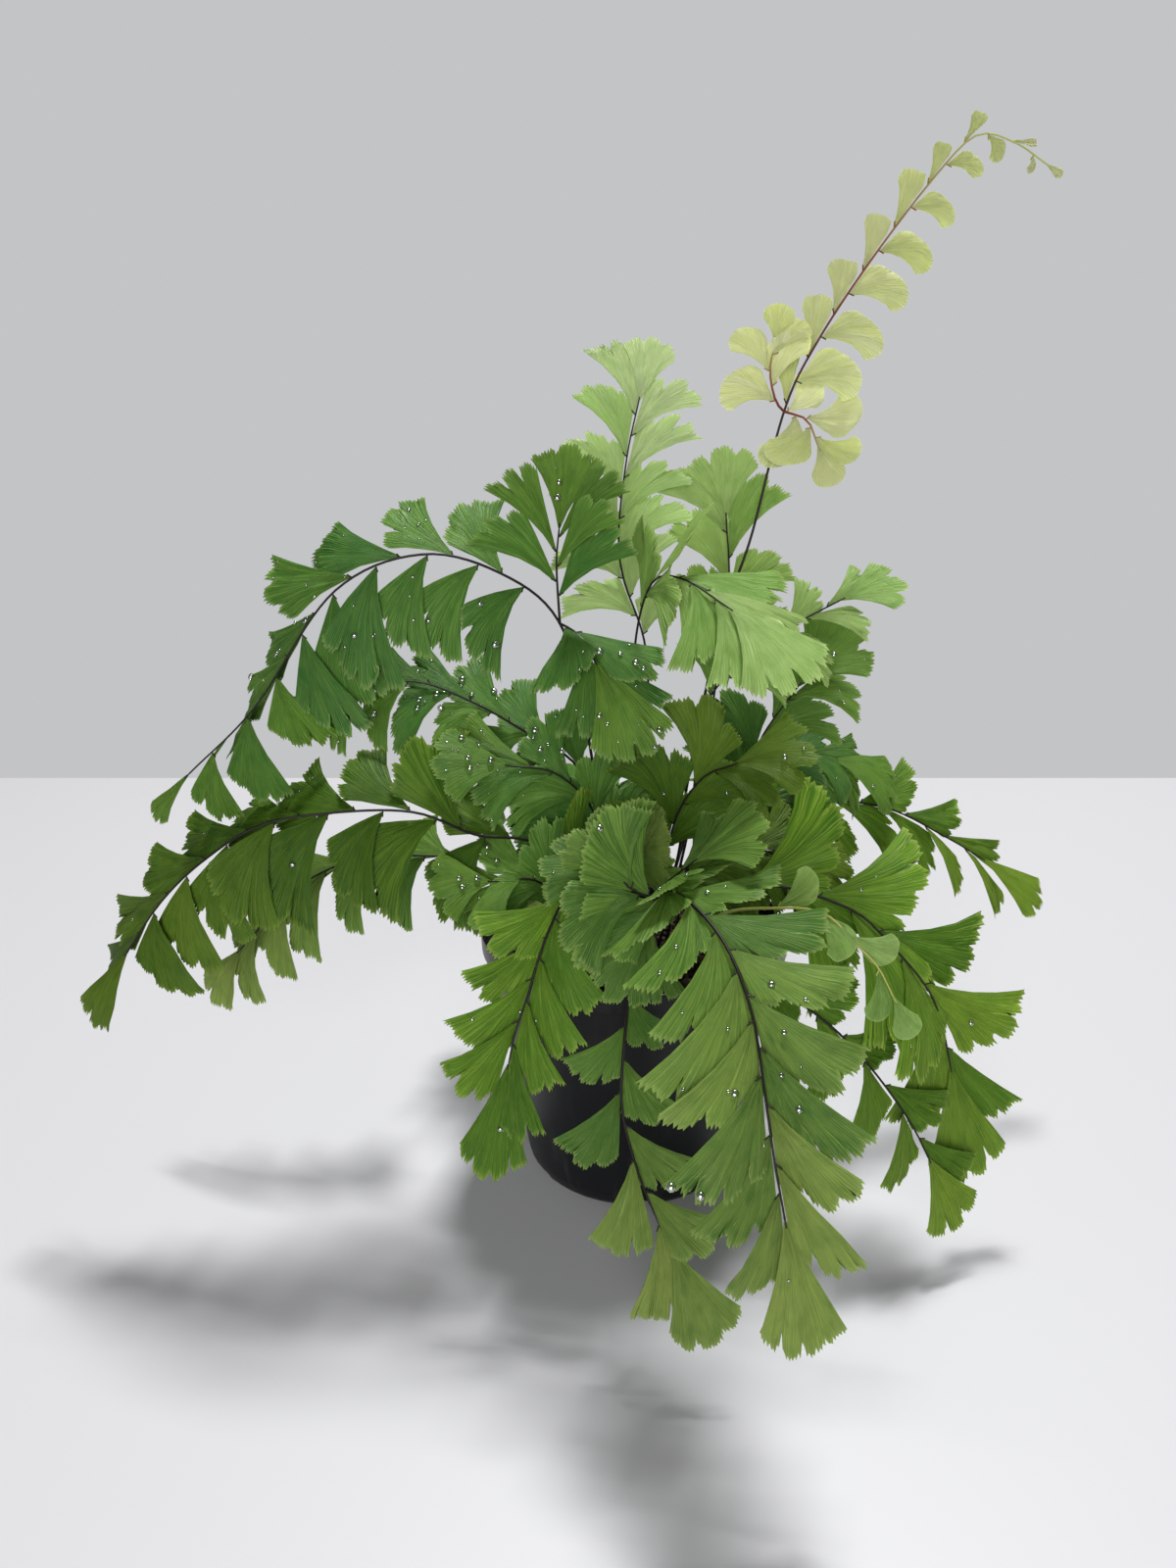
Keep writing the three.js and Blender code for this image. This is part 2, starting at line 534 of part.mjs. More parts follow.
// The outer points of a leaflet: tips of its lobes, with a notch between each two and a lower
// corner at each end. A round one has only its corners and a plain margin.
function leafletOutline(leaf) {
  const count = leaf.round ? 5 : leaf.length < blade.large ? 7 : 9;
  const start = leaf.ends ? -leaf.spread / 2 : 0;
  return Array.from({ length: count }, (_, i) => {
    const phi = start + leaf.spread * i / (count - 1);
    const isLow = leaf.round ? i % (count - 1) === 0 : i % 2 === 0;
    return { phi, r: bladeReach(leaf, phi) * (isLow ? blade.notch : 1) };
  });
}

// A leaflet as a closed blade: a pointed root sunk in the stem, a neck, a lobed margin, and a bend
// across the middle where it droops. It may be grown all round.
function makeLeaflet(leaf, grown) {
  const outline = leafletOutline(leaf);
  const far = 1 + grown / leaf.length;
  const n = outline.length;
  const middle = (n - 1) / 2;
  const halfNeck = blade.neckWidth / 2 + grown;
  const sheet = [
    leaf.root.clone().addScaledVector(leaf.out, -blade.rootSink - grown),
    leaf.heart.clone().addScaledVector(leaf.across, -halfNeck),
    leaf.heart.clone().addScaledVector(leaf.across, halfNeck),
  ];
  const bends = leaf.droop > blade.bend;
  if (bends) {
    for (const { phi, r } of [outline[0], outline[middle], outline[n - 1]]) {
      sheet.push(bladePoint(leaf, r * blade.middle * far, phi));
    }
  }
  const rim = sheet.length;
  for (const { phi, r } of outline) sheet.push(bladePoint(leaf, r * far, phi));

  const face = [[0, 1, 2]];
  const fan = (hub, from, to) => {
    for (let i = rim + from; i < rim + to; i++) face.push([hub, i, i + 1]);
  };
  if (bends) {
    const left = Math.round((n - 1) / 4);
    const right = Math.round(3 * (n - 1) / 4);
    face.push([1, 3, 4], [1, 4, 2], [2, 4, 5]);
    fan(3, 0, left);
    face.push([3, rim + left, 4]);
    fan(4, left, right);
    face.push([4, rim + right, 5]);
    fan(5, right, n - 1);
  } else {
    fan(1, 0, middle);
    face.push([1, rim + middle, 2]);
    fan(2, middle, n - 1);
  }

  // The sheet is thickened along the mean normal of the triangles that meet at each point.
  const normals = sheet.map(() => new THREE.Vector3());
  for (const [a, b, c] of face) {
    const normal = sheet[b].clone().sub(sheet[a]).cross(sheet[c].clone().sub(sheet[a]));
    for (const corner of [a, b, c]) normals[corner].add(normal);
  }
  const half = blade.thickness / 2 + grown;
  const faceOf = (side) => sheet.map((point, i) => (
    point.clone().addScaledVector(normals[i].clone().normalize(), i ? side * half : 0)));
  const under = sheet.length;
  const margin = outline.map((_, i) => rim + i);
  const loop = bends ? [1, 3, ...margin, 5, 2] : [1, ...margin, 2];
  const triangles = [[0, 1 + under, 1], [0, 2, 2 + under]];
  for (const [a, b, c] of face) triangles.push([a, b, c], [a && a + under, c + under, b + under]);
  loop.slice(1).forEach((b, i) => {
    const a = loop[i];
    triangles.push([a, a + under, b + under], [a, b + under, b]);
  });
  return facets([...faceOf(1), ...faceOf(-1)], triangles);
}

// ---- Growing the plant -----------------------------------------------------------------------

function boxesMeet(a, b) {
  const p = a.boundingBox();
  const q = b.boundingBox();
  return [0, 1, 2].every((k) => p.min[k] <= q.max[k] && q.min[k] <= p.max[k]);
}

// The stems come first, then the leaflets one by one, each clear of every other solid. A leaflet
// that finds no clear place is left out.
function growFronds(potSolid, soilSolid) {
  const plants = Object.entries(fronds).map(([name, frond], index) => {
    const midribs = frond.sprays.map((spray) => new Midrib(spray.path));
    const solid = frond.sprays
      .map((spray, k) => makeStem(spray, midribs[k], k ? stem.branchRadius : stem.baseRadius))
      .reduce((whole, piece) => whole.add(piece));
    return { name, frond, index, midribs, solid, blades: [] };
  });
  const meets = (a, b, volume) => boxesMeet(a, b) && a.intersect(b).volume() > volume;
  for (const plant of plants) {
    const others = plants.filter((other) => other !== plant);
    plant.frond.sprays.forEach((spray, k) => {
      for (let i = 0; i <= spray.count; i++) {
        const seed = plant.index * 7 + k + 1;
        const frame = (place) => leafletFrame(spray, plant.midribs[k], seed, i, place);
        const free = PLACES.filter((place) => {
          const solid = makeLeaflet(frame(place), GAP);
          return ![potSolid, soilSolid, ...others.map((other) => other.solid)]
            .some((other) => meets(solid, other, 0));
        });
        const place = free.find((candidate) => {
          const solid = makeLeaflet(frame(candidate), 0);
          return !plant.blades.some((other) => meets(solid, other, CROSSING));
        }) ?? free[0];
        if (!place) continue;
        const leaf = makeLeaflet(frame(place), 0);
        plant.blades.push(leaf);
        plant.solid = plant.solid.add(leaf);
      }
    });
  }
  return plants;
}

// ---- The model -------------------------------------------------------------------------------

const fern = new THREE.Group();

function addPart(name, solid, colour, roughness) {
  const material = new THREE.MeshStandardMaterial({ color: colour, roughness, metalness: 0 });
  const mesh = new THREE.Mesh(geometryOf(solid), material);
  mesh.name = name;
  fern.add(mesh);
}

const potSolid = makePot();
const soilSolid = makeSoil(Object.values(fronds).map(({ sprays }) => stalkFoot(sprays[0])));
addPart('pot', potSolid, 0x15171a, 0.45);
addPart('soil', soilSolid, 0x2b211a, 0.95);
for (const { name, frond, solid } of growFronds(potSolid, soilSolid)) {
  addPart(name, solid, frond.tone, 0.55);
}

export default fern;
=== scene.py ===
# %% [markdown]
# # A maidenhair fern in a nursery pot
# A maidenhair fern is wiry black stalks that carry hundreds of small fan-shaped leaflets. Each
# stalk, with all that grows on it, is one frond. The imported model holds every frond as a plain
# solid, and this lesson grows a finer frond in the place of each one: it repeats the rule by which
# the solids were grown, reads from each solid where its leaflets ended up, and lets Geometry Nodes
# give them veins, teeth, cuts and waves. Then it finishes the pot and the soil.

# %% The frame
import math

import bmesh
import bpy
from mathutils import Matrix, Vector, noise
from mathutils.kdtree import KDTree


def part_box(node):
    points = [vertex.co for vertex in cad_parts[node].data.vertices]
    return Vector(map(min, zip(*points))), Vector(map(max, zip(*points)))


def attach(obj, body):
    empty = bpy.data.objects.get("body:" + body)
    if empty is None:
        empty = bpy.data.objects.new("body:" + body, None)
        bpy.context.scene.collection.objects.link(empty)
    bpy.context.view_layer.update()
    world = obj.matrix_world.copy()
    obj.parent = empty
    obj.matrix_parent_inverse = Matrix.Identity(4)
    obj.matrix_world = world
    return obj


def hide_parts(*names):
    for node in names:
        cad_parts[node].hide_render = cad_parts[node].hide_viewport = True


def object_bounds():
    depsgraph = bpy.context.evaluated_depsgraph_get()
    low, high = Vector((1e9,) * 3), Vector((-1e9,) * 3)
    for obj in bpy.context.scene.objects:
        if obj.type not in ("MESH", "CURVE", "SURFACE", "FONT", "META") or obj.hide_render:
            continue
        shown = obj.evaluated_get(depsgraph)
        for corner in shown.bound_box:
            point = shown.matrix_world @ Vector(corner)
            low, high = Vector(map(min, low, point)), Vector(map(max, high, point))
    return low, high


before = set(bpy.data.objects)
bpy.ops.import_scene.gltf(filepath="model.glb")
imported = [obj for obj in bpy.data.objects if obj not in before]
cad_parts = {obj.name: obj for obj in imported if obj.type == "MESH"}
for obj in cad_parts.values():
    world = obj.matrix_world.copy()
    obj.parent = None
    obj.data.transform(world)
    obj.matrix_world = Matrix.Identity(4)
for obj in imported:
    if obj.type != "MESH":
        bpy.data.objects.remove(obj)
cad_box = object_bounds()
MM = 0.001
print("the model has", len(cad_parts), "pieces and stands", round(cad_box[1][2] / MM), "mm high")

# %% [markdown]
# The camera comes first, because the picture decides how much of each detail shows. It looks down
# on the plant from the height of a person's eyes at a table, with a lens of normal width. A camera
# in Blender measures its lens in millimetres for a sensor 36 mm long, so a focal length that was
# found in pixels is turned to millimetres by the length of the picture's long side.

# %% The camera
IMAGE_HEIGHT = 1600
FOCAL_PIXELS = 1204
CAMERA_PLACE = (-18, -422, 300)
CAMERA_DOWN = 18.5


def put(name, data):
    piece = bpy.data.objects.new(name, data)
    bpy.context.scene.collection.objects.link(piece)
    return piece


camera_data = bpy.data.cameras.new("camera")
camera_data.lens = camera_data.sensor_width * FOCAL_PIXELS / IMAGE_HEIGHT
camera = put("camera", camera_data)
camera.location = Vector(CAMERA_PLACE) * MM
camera.rotation_euler = (math.radians(90 - CAMERA_DOWN), 0, 0)
bpy.context.scene.camera = camera
print("the lens is", round(camera_data.lens, 1), "mm")

# %% [markdown]
# Three helpers serve every step. Screens and photographs give colours as sRGB values, but a shader
# counts in linear light, so the first turns the one into the other. The second adds a node to a
# tree, whether of a material or of geometry: it sets the node's own options, fills its sockets in
# order or by name, with a value or with a link, and gives back the node's first output. Arithmetic
# is so common that its operation may stand right after the kind of node. The third starts a
# material with an empty tree.

# %% Colours and nodes
MATH = "ShaderNodeMath"
VECTOR = "ShaderNodeVectorMath"
MIX = "ShaderNodeMix"
RANGE = "ShaderNodeMapRange"
NOISE = "ShaderNodeTexNoise"
ATTRIBUTE = "ShaderNodeAttribute"
PRINCIPLED = "ShaderNodeBsdfPrincipled"
OUTPUT = "ShaderNodeOutputMaterial"


def linear(hex_colour):
    channels = [int(hex_colour[i:i + 2], 16) / 255 for i in (1, 3, 5)]
    return [c / 12.92 if c <= 0.04045 else ((c + 0.055) / 1.055) ** 2.4 for c in channels] + [1]


def add(tree, kind, *values, named=None, **options):
    node = tree.nodes.new(kind)
    if kind in (MATH, VECTOR):
        options["operation"], *values = values
    for option, value in options.items():
        setattr(node, option, value)
    used = [socket for socket in node.inputs if socket.enabled]
    pairs = list(zip(used, values))
    pairs += [(node.inputs[name], value) for name, value in (named or {}).items()]
    for socket, value in pairs:
        if isinstance(value, bpy.types.NodeSocket):
            tree.links.new(value, socket)
        elif value is not None:
            socket.default_value = value
    return next((socket for socket in node.outputs if socket.enabled), None)


def new_material(name):
    material = bpy.data.materials.new(name)
    material.use_nodes = True
    material.node_tree.nodes.clear()
    return material, material.node_tree


print("mid grey, #808080, is", round(linear("#808080")[0], 3), "in linear light")

# %% [markdown]
# The stage is not part of the object: a plain pale floor that ends where the wall would begin, an
# even grey all round, and two square softboxes. The key hangs high behind the plant, so its light
# shines through the leaflets and lays their soft shadows on the floor in front of them. The fill
# is larger and far behind the viewer, so that it lights the near leaflets as evenly as the floor.

# %% Floor and light
FLOOR_BACK = 490
FLOOR_ASIDE = 1470
WALL_COLOUR = "#c3c4c6"
FLOOR_COLOUR = "#cdcdd0"
AMBIENT = 0.09
SOFTBOXES = {
    "key_softbox": {"size": 430, "place": (280, 890, 2500), "watts": 77},
    "fill_softbox": {"size": 1500, "place": (-250, -2600, 850), "watts": 57},
}

floor_mesh = bpy.data.meshes.new("floor")
back, aside = FLOOR_BACK * MM, FLOOR_ASIDE * MM
floor_mesh.from_pydata([(-aside, -aside, 0), (aside, -aside, 0), (aside, back, 0), (-aside, back, 0)],
                       [], [(0, 1, 2, 3)])
floor = put("floor", floor_mesh)
floor_material, tree = new_material("white_lacquered_board")
add(tree, OUTPUT, add(tree, PRINCIPLED, named={"Base Color": linear(FLOOR_COLOUR), "Roughness": 0.5}))
floor_mesh.materials.append(floor_material)

world = bpy.data.worlds.new("studio")
world.use_nodes = True
tree = world.node_tree
tree.nodes.clear()
wall = add(tree, "ShaderNodeBackground", linear(WALL_COLOUR), 1.0)
room = add(tree, "ShaderNodeBackground", (AMBIENT, AMBIENT, AMBIENT, 1), 1.0)
around = add(tree, "ShaderNodeMixShader", add(tree, "ShaderNodeLightPath"), room, wall)
add(tree, "ShaderNodeOutputWorld", around)
bpy.context.scene.world = world
bpy.context.scene.view_settings.view_transform = "Standard"

middle = (cad_box[0] + cad_box[1]) / 2
for name, box in SOFTBOXES.items():
    lamp = bpy.data.lights.new(name, "AREA")
    lamp.size = box["size"] * MM
    lamp.energy = box["watts"]
    softbox = put(name, lamp)
    softbox.location = Vector(box["place"]) * MM
    softbox.rotation_euler = (middle - softbox.location).to_track_quat("-Z", "Y").to_euler()
    print("the", name, "is", box["size"], "mm square")

# %% [markdown]
# Every frond is a list of sprays, and each spray is one line of stem with leaflets on both sides.
# The first spray rises from the soil, and the others branch from it. The points of the stems are
# given one by one, and the rest is a rule: how many leaflets, which share of the stem they fill, how
# long and wide they are at its base, middle and tip, where their upper sides look, how far they
# lean towards the tip, fold back, droop in an arc and hang, and how far the last one fans out.
# Lengths are in millimetres and angles in degrees. Two words are for this lesson alone: slim makes
# the fans narrower than the model's, and new is how much of the young green of a tip they take.
# Most sprays share some of these numbers, so a spray tells only where it differs from the usual.

# %% What a spray is told by
USUAL = {"end": 0.95, "grow": (1, 1, 1), "split": 0, "fold": 0, "droop": 0.5, "hang": 0, "first": 1,
         "tip": 1.1, "fan": 64, "plain": False, "slim": 1, "new": 1}


def spray_on(path, **own):
    return {"path": path, **USUAL, **own}


print(len(USUAL), "of a spray's numbers have a usual value")

# %% [markdown]
# The fronds at the left are the longest. The highest of them rises straight from the crown, bends
# over and hangs far out, with two side sprays at the bend. The others arch out below it and behind
# it, down to one that hangs over the left side of the pot.

# %% The fronds at the left
FRONDS = {
    "frond_high_left": ("mature_frond", [
        spray_on([(-12, 2, 76), (-13, 2, 138), (-20, -3, 190), (-28, -6, 221), (-45, -12, 238),
                  (-73, -18, 247), (-104, -22, 235), (-134, -24, 195), (-158, -28, 172)],
                 count=17, start=0.52, end=0.965, size=37, grow=(0.85, 1.05, 0.75), wide=0.58,
                 faces=(0, -0.8, 0.6), tip_faces=(-0.35, -0.85, 0.4), lean=2, tip_lean=22, split=-12,
                 fold=8, tip_fold=50, droop=0.4, hang=0.05, first=-1, tip=0.75, fan=44, slim=0.78),
        spray_on([(-28, -6, 221), (-29, -8, 242), (-28, -8, 254)],
                 count=5, start=0.3, end=0.92, size=30, grow=(0.95, 1, 1), wide=0.52,
                 faces=(0, -0.8, 0.6), lean=30, tip_lean=46, droop=0.4, tip=0.95, slim=0.7),
        spray_on([(-28, -6, 221), (-22, -14, 219), (-16, -20, 211)],
                 count=4, start=0.2, end=0.9, size=32, grow=(0.9, 1, 1), wide=0.55,
                 faces=(0, -0.6, 0.8), lean=20, tip_lean=40, droop=0.7, tip=1.15)]),
    "frond_mid_left": ("mature_frond", [
        spray_on([(-9, 9, 76), (-10, 14, 125), (-21, 10, 161), (-43, 7, 178), (-62, 4, 190),
                  (-83, 2, 198), (-109, -3, 194)],
                 count=12, start=0.47, size=32, grow=(0.95, 1, 0.75), wide=0.52, faces=(0, -0.7, 0.7),
                 lean=12, tip_lean=40, split=6, droop=0.8, hang=0.12, tip=1)]),
    "frond_low_left": ("mature_frond", [
        spray_on([(-16, -5, 76), (-20, -12, 124), (-38, -20, 143), (-58, -28, 149), (-79, -32, 159),
                  (-106, -35, 160), (-132, -37, 156), (-153, -38, 143), (-169, -39, 128),
                  (-183, -40, 109)],
                 count=17, start=0.35, end=0.965, size=37, grow=(0.85, 1.05, 0.85), wide=0.62,
                 faces=(0, -0.75, 0.65), lean=6, tip_lean=24, split=8, fold=5, tip_fold=28, droop=0.35,
                 hang=0.1, tip=1, fan=44, slim=0.86)]),
    "frond_back_left": ("light_frond", [
        spray_on([(-18, 8, 76), (-24, 12, 106), (-49, 14, 120), (-84, 14, 124), (-110, 12, 123),
                  (-131, 10, 114), (-145, 9, 100), (-158, 8, 86)],
                 count=10, start=0.46, size=33, grow=(0.9, 1, 0.85), wide=0.58, faces=(0, -0.7, 0.7),
                 lean=10, tip_lean=26, droop=0.6, hang=0.4, tip=1)]),
    "frond_front_left": ("light_frond", [
        spray_on([(-9, -10, 76), (-14, -28, 119), (-21, -46, 142), (-25, -55, 139), (-32, -66, 127),
                  (-38, -75, 110), (-42, -80, 99), (-44, -83, 90)],
                 count=10, start=0.52, end=0.955, size=33, grow=(0.85, 0.95, 0.9), wide=0.62,
                 faces=(0, -0.85, 0.5), lean=14, tip_lean=44, droop=0.3, tip=1.4, fan=44, new=0.3)]),
}
print("so far there are", len(FRONDS), "fronds")

# %% [markdown]
# At the front one frond arches out towards the viewer, with a small side spray, and a small one
# hangs over the rim. Four more reach to the right, one above the other.

# %% The fronds at the front and the right
FRONDS |= {
    "frond_front": ("light_frond", [
        spray_on([(0, -15, 76), (-1, -40, 115), (4, -68, 144), (12, -88, 151), (22, -109, 146),
                  (28, -128, 134), (30, -144, 119), (32, -153, 104), (35, -158, 88)],
                 count=16, start=0.42, end=0.965, size=40, grow=(0.8, 1, 0.75), wide=0.5,
                 faces=(0, -0.6, 0.8), tip_faces=(0, -0.95, 0.3), lean=10, tip_lean=40, droop=0.4,
                 first=-1, tip=1.35, fan=44),
        spray_on([(4, -68, 144), (8, -72, 150), (15, -74, 157)],
                 count=2, start=0.35, end=0.75, size=24, wide=0.7, faces=(0, -0.4, 0.9), lean=20,
                 tip_lean=30, droop=0.4, new=0.2)]),
    "frond_front_small": ("light_frond", [
        spray_on([(-4, -21, 76), (-4, -50, 110), (-4, -66, 110), (-6, -80, 96), (-7, -90, 78),
                  (-3, -100, 64), (2, -109, 54), (8, -116, 44)],
                 count=8, start=0.45, size=24, grow=(0.8, 1, 1.1), wide=0.7, faces=(0, -0.9, 0.4),
                 lean=22, tip_lean=38, droop=0.3, first=-1, tip=1.25, fan=54)]),
    "frond_right_low": ("mature_frond", [
        spray_on([(10, -8, 76), (17, -14, 116), (47, -22, 127), (77, -30, 121), (91, -36, 110),
                  (103, -42, 97), (109, -46, 85), (113, -50, 68)],
                 count=9, start=0.4, end=0.96, size=41, grow=(1.2, 1.1, 0.9), wide=0.55,
                 faces=(0.1, -0.75, 0.65), lean=12, tip_lean=32, droop=0.35, first=-1, fan=54)]),
    "frond_right_under": ("mature_frond", [
        spray_on([(8, -16, 76), (19, -38, 103), (41, -50, 103), (63, -57, 92), (80, -62, 76),
                  (95, -66, 56), (102, -69, 43)],
                 count=8, start=0.42, size=28, grow=(0.95, 1, 0.9), wide=0.58, faces=(0.3, -0.8, 0.5),
                 lean=18, tip_lean=30, droop=0.4, tip=1.15)]),
    "frond_far_right": ("mature_frond", [
        spray_on([(16, 8, 76), (36, 22, 112), (52, 30, 130), (77, 38, 138), (107, 42, 134),
                  (134, 44, 120), (149, 44, 111)],
                 count=10, start=0.42, size=34, grow=(0.95, 1, 0.9), wide=0.48, faces=(0.2, -0.7, 0.7),
                 lean=22, tip_lean=54, droop=0.45, first=-1, fan=40)]),
    "frond_mid_right": ("mature_frond", [
        spray_on([(12, 14, 76), (34, 27, 115), (46, 32, 149), (51, 34, 165), (57, 36, 175),
                  (66, 38, 187)],
                 count=7, start=0.5, size=30, wide=0.52, faces=(0.1, -0.6, 0.8), lean=26, tip_lean=40,
                 droop=0.7),
        spray_on([(46, 32, 149), (62, 36, 157), (71, 38, 159), (82, 40, 156)],
                 count=5, start=0.35, end=0.9, size=28, wide=0.52, faces=(0.1, -0.6, 0.8), lean=30,
                 tip_lean=40, droop=0.9, tip=1.2)]),
}
print("so far there are", len(FRONDS), "fronds")

# %% [markdown]
# The newest fronds are the palest. Two of them stand at the top, one bends over to the front in the
# middle, and a small one reaches to the right beside it. The youngest rises above them all, with
# two side sprays, and beside the front frond a small shoot has just unrolled.

# %% The fronds at the top
FRONDS |= {
    "frond_top": ("light_frond", [
        spray_on([(0, 18, 76), (8, 34, 126), (7, 40, 162), (5, 44, 202), (-4, 46, 229), (-6, 46, 248),
                  (-3, 46, 276), (1, 46, 295)],
                 count=12, start=0.6, end=0.98, size=31, grow=(0.9, 0.95, 0.95), wide=0.45,
                 faces=(-0.1, -0.8, 0.6), lean=22, tip_lean=42, droop=0.35, tip=0.75, fan=50)]),
    "frond_top_right": ("light_frond", [
        spray_on([(7, 21, 76), (23, 40, 124), (32, 46, 169), (36, 48, 209), (38, 48, 229),
                  (36, 48, 252)],
                 count=6, start=0.7, end=0.97, size=30, wide=0.55, faces=(0, -0.8, 0.6), lean=30,
                 tip_lean=45, droop=0.35, tip=0.9)]),
    "frond_centre": ("light_frond", [
        spray_on([(-2, 3, 76), (2, 6, 137), (0, 4, 173), (-1, 0, 211), (4, -12, 236), (14, -20, 239),
                  (28, -36, 232)],
                 count=8, start=0.76, end=0.97, size=34, grow=(1, 1, 1.05), wide=0.5,
                 faces=(0, -0.5, 0.85), lean=14, tip_lean=42, droop=0.55, first=-1, tip=1.15)]),
    "frond_right_tip": ("light_frond", [
        spray_on([(7, 4, 76), (21, 10, 135), (26, 12, 183), (38, 13, 201), (50, 15, 210), (62, 16, 218),
                  (76, 18, 225)],
                 count=7, start=0.66, end=0.97, size=25, grow=(1, 1, 0.95), wide=0.5,
                 faces=(0, -0.6, 0.8), lean=28, tip_lean=48, droop=0.6, first=-1, tip=1)]),
    "frond_young": ("young_frond", [
        spray_on([(4, 11, 76), (18, 22, 118), (22, 28, 150), (34, 38, 211), (45, 42, 245),
                  (56, 45, 292), (67, 47, 316), (86, 50, 345), (108, 50, 374), (121, 50, 386),
                  (134, 48, 383), (145, 46, 376)],
                 count=16, start=0.62, end=0.985, size=24, grow=(1, 0.88, 0.25), wide=0.75,
                 faces=(0, -0.9, 0.4), lean=26, tip_lean=30, split=22, droop=0.15, first=-1, tip=1,
                 plain=True),
        spray_on([(56, 45, 292), (52, 41, 296), (49, 38, 306), (50, 37, 316)],
                 count=4, start=0.25, end=0.85, size=20, grow=(1.3, 1, 0.85), wide=0.7,
                 faces=(0, -0.9, 0.4), lean=18, tip_lean=32, droop=0.15, first=-1, tip=0.8, fan=74,
                 plain=True),
        spray_on([(56, 45, 292), (64, 40, 289), (68, 37, 280)],
                 count=5, start=0.08, end=0.85, size=20, grow=(1.1, 1.1, 1), wide=0.75,
                 faces=(0, -0.9, 0.4), lean=-30, tip_lean=4, split=8, droop=0.15, first=-1, tip=0.9,
                 fan=74, plain=True)]),
    "frond_shoot": ("young_frond", [
        spray_on([(12, -14, 76), (26, -34, 118), (47, -60, 135), (60, -70, 137), (68, -76, 130),
                  (75, -80, 124), (80, -84, 115)],
                 count=4, start=0.62, end=0.93, size=19, grow=(1, 1, 0.9), wide=0.7,
                 faces=(0.1, -0.85, 0.5), lean=24, tip_lean=34, droop=0.2, first=-1, tip=0.9,
                 plain=True, new=2)]),
}
print("so far there are", len(FRONDS), "fronds")

# %% [markdown]
# Short fronds fill the middle of the plant, where the stalks stand close. Two more grow at the
# back, because a plant of this kind has fronds on every side.

# %% The short fronds inside and behind
FRONDS |= {
    "frond_inner_left": ("mature_frond", [
        spray_on([(-5, -4, 76), (-8, -5, 120), (-16, -6, 150), (-30, -9, 166), (-46, -13, 170)],
                 count=7, start=0.5, end=0.93, size=30, grow=(1, 1, 0.9), wide=0.62,
                 faces=(0, -0.75, 0.65), lean=16, tip_lean=34)]),
    "frond_inner_right": ("mature_frond", [
        spray_on([(4, -4, 76), (9, -8, 120), (15, -11, 150), (24, -14, 166), (34, -18, 172)],
                 count=6, start=0.5, end=0.93, size=30, grow=(1, 1, 0.9), wide=0.62,
                 faces=(0.1, -0.75, 0.65), lean=18, tip_lean=34, first=-1)]),
    "frond_inner_front": ("light_frond", [
        spray_on([(-3, -12, 76), (-5, -22, 112), (-5, -34, 136), (0, -44, 148)],
                 count=5, start=0.55, end=0.92, size=25, grow=(1, 1, 0.9), wide=0.7,
                 faces=(0, -0.7, 0.7), lean=16, tip_lean=34, first=-1)]),
    "frond_left_short": ("mature_frond", [
        spray_on([(-14, -14, 76), (-22, -20, 112), (-36, -26, 130), (-52, -33, 133)],
                 count=7, start=0.5, end=0.94, size=26, grow=(0.9, 1, 0.9), wide=0.64,
                 faces=(0, -0.75, 0.65), lean=16, tip_lean=34)]),
    "frond_rear_left": ("mature_frond", [
        spray_on([(-10, 17, 76), (-15, 34, 118), (-27, 56, 140), (-44, 76, 140), (-57, 90, 122)],
                 count=8, start=0.42, end=0.94, size=31, grow=(0.95, 1, 0.8), wide=0.56,
                 faces=(-0.3, 0.5, 0.8), lean=14, tip_lean=30)]),
    "frond_rear_right": ("mature_frond", [
        spray_on([(16, 18, 76), (26, 38, 118), (42, 60, 138), (60, 78, 134), (73, 90, 114)],
                 count=8, start=0.42, end=0.94, size=30, grow=(0.95, 1, 0.8), wide=0.56,
                 faces=(0.3, 0.5, 0.8), lean=14, tip_lean=30, first=-1)]),
}
print(len(FRONDS), "fronds with", sum(len(sprays) for slot, sprays in FRONDS.values()), "sprays")

# %% [markdown]
# A few parts are too fine for the model and grow only here, on stems that it has: the little
# rosette where the front frond bends over, some small leaflets low in the crown, and one crozier,
# the tight coil from which every frond of a fern unrolls. A coil is a spiral, so its points follow
# a formula: with each step the radius shrinks and the point turns further.

# %% The finest sprays
COIL_RADIUS = 2.4
COIL_TURNS = 2.2
COIL_STEPS = 30
COIL_SHRINKS = 0.8
COIL_AHEAD = 3
COIL_NEARER = 0.6


def coil(start, towards):
    line = [start, towards]
    for step in range(COIL_STEPS + 1):
        share = step / COIL_STEPS
        turn = math.pi * (0.5 + 2 * COIL_TURNS * share)
        radius = COIL_RADIUS * (1 - COIL_SHRINKS * share)
        line.append((towards[0] + COIL_AHEAD + radius * math.cos(turn), towards[1] - COIL_NEARER * share,
                     towards[2] - COIL_RADIUS + radius * math.sin(turn)))
    return line


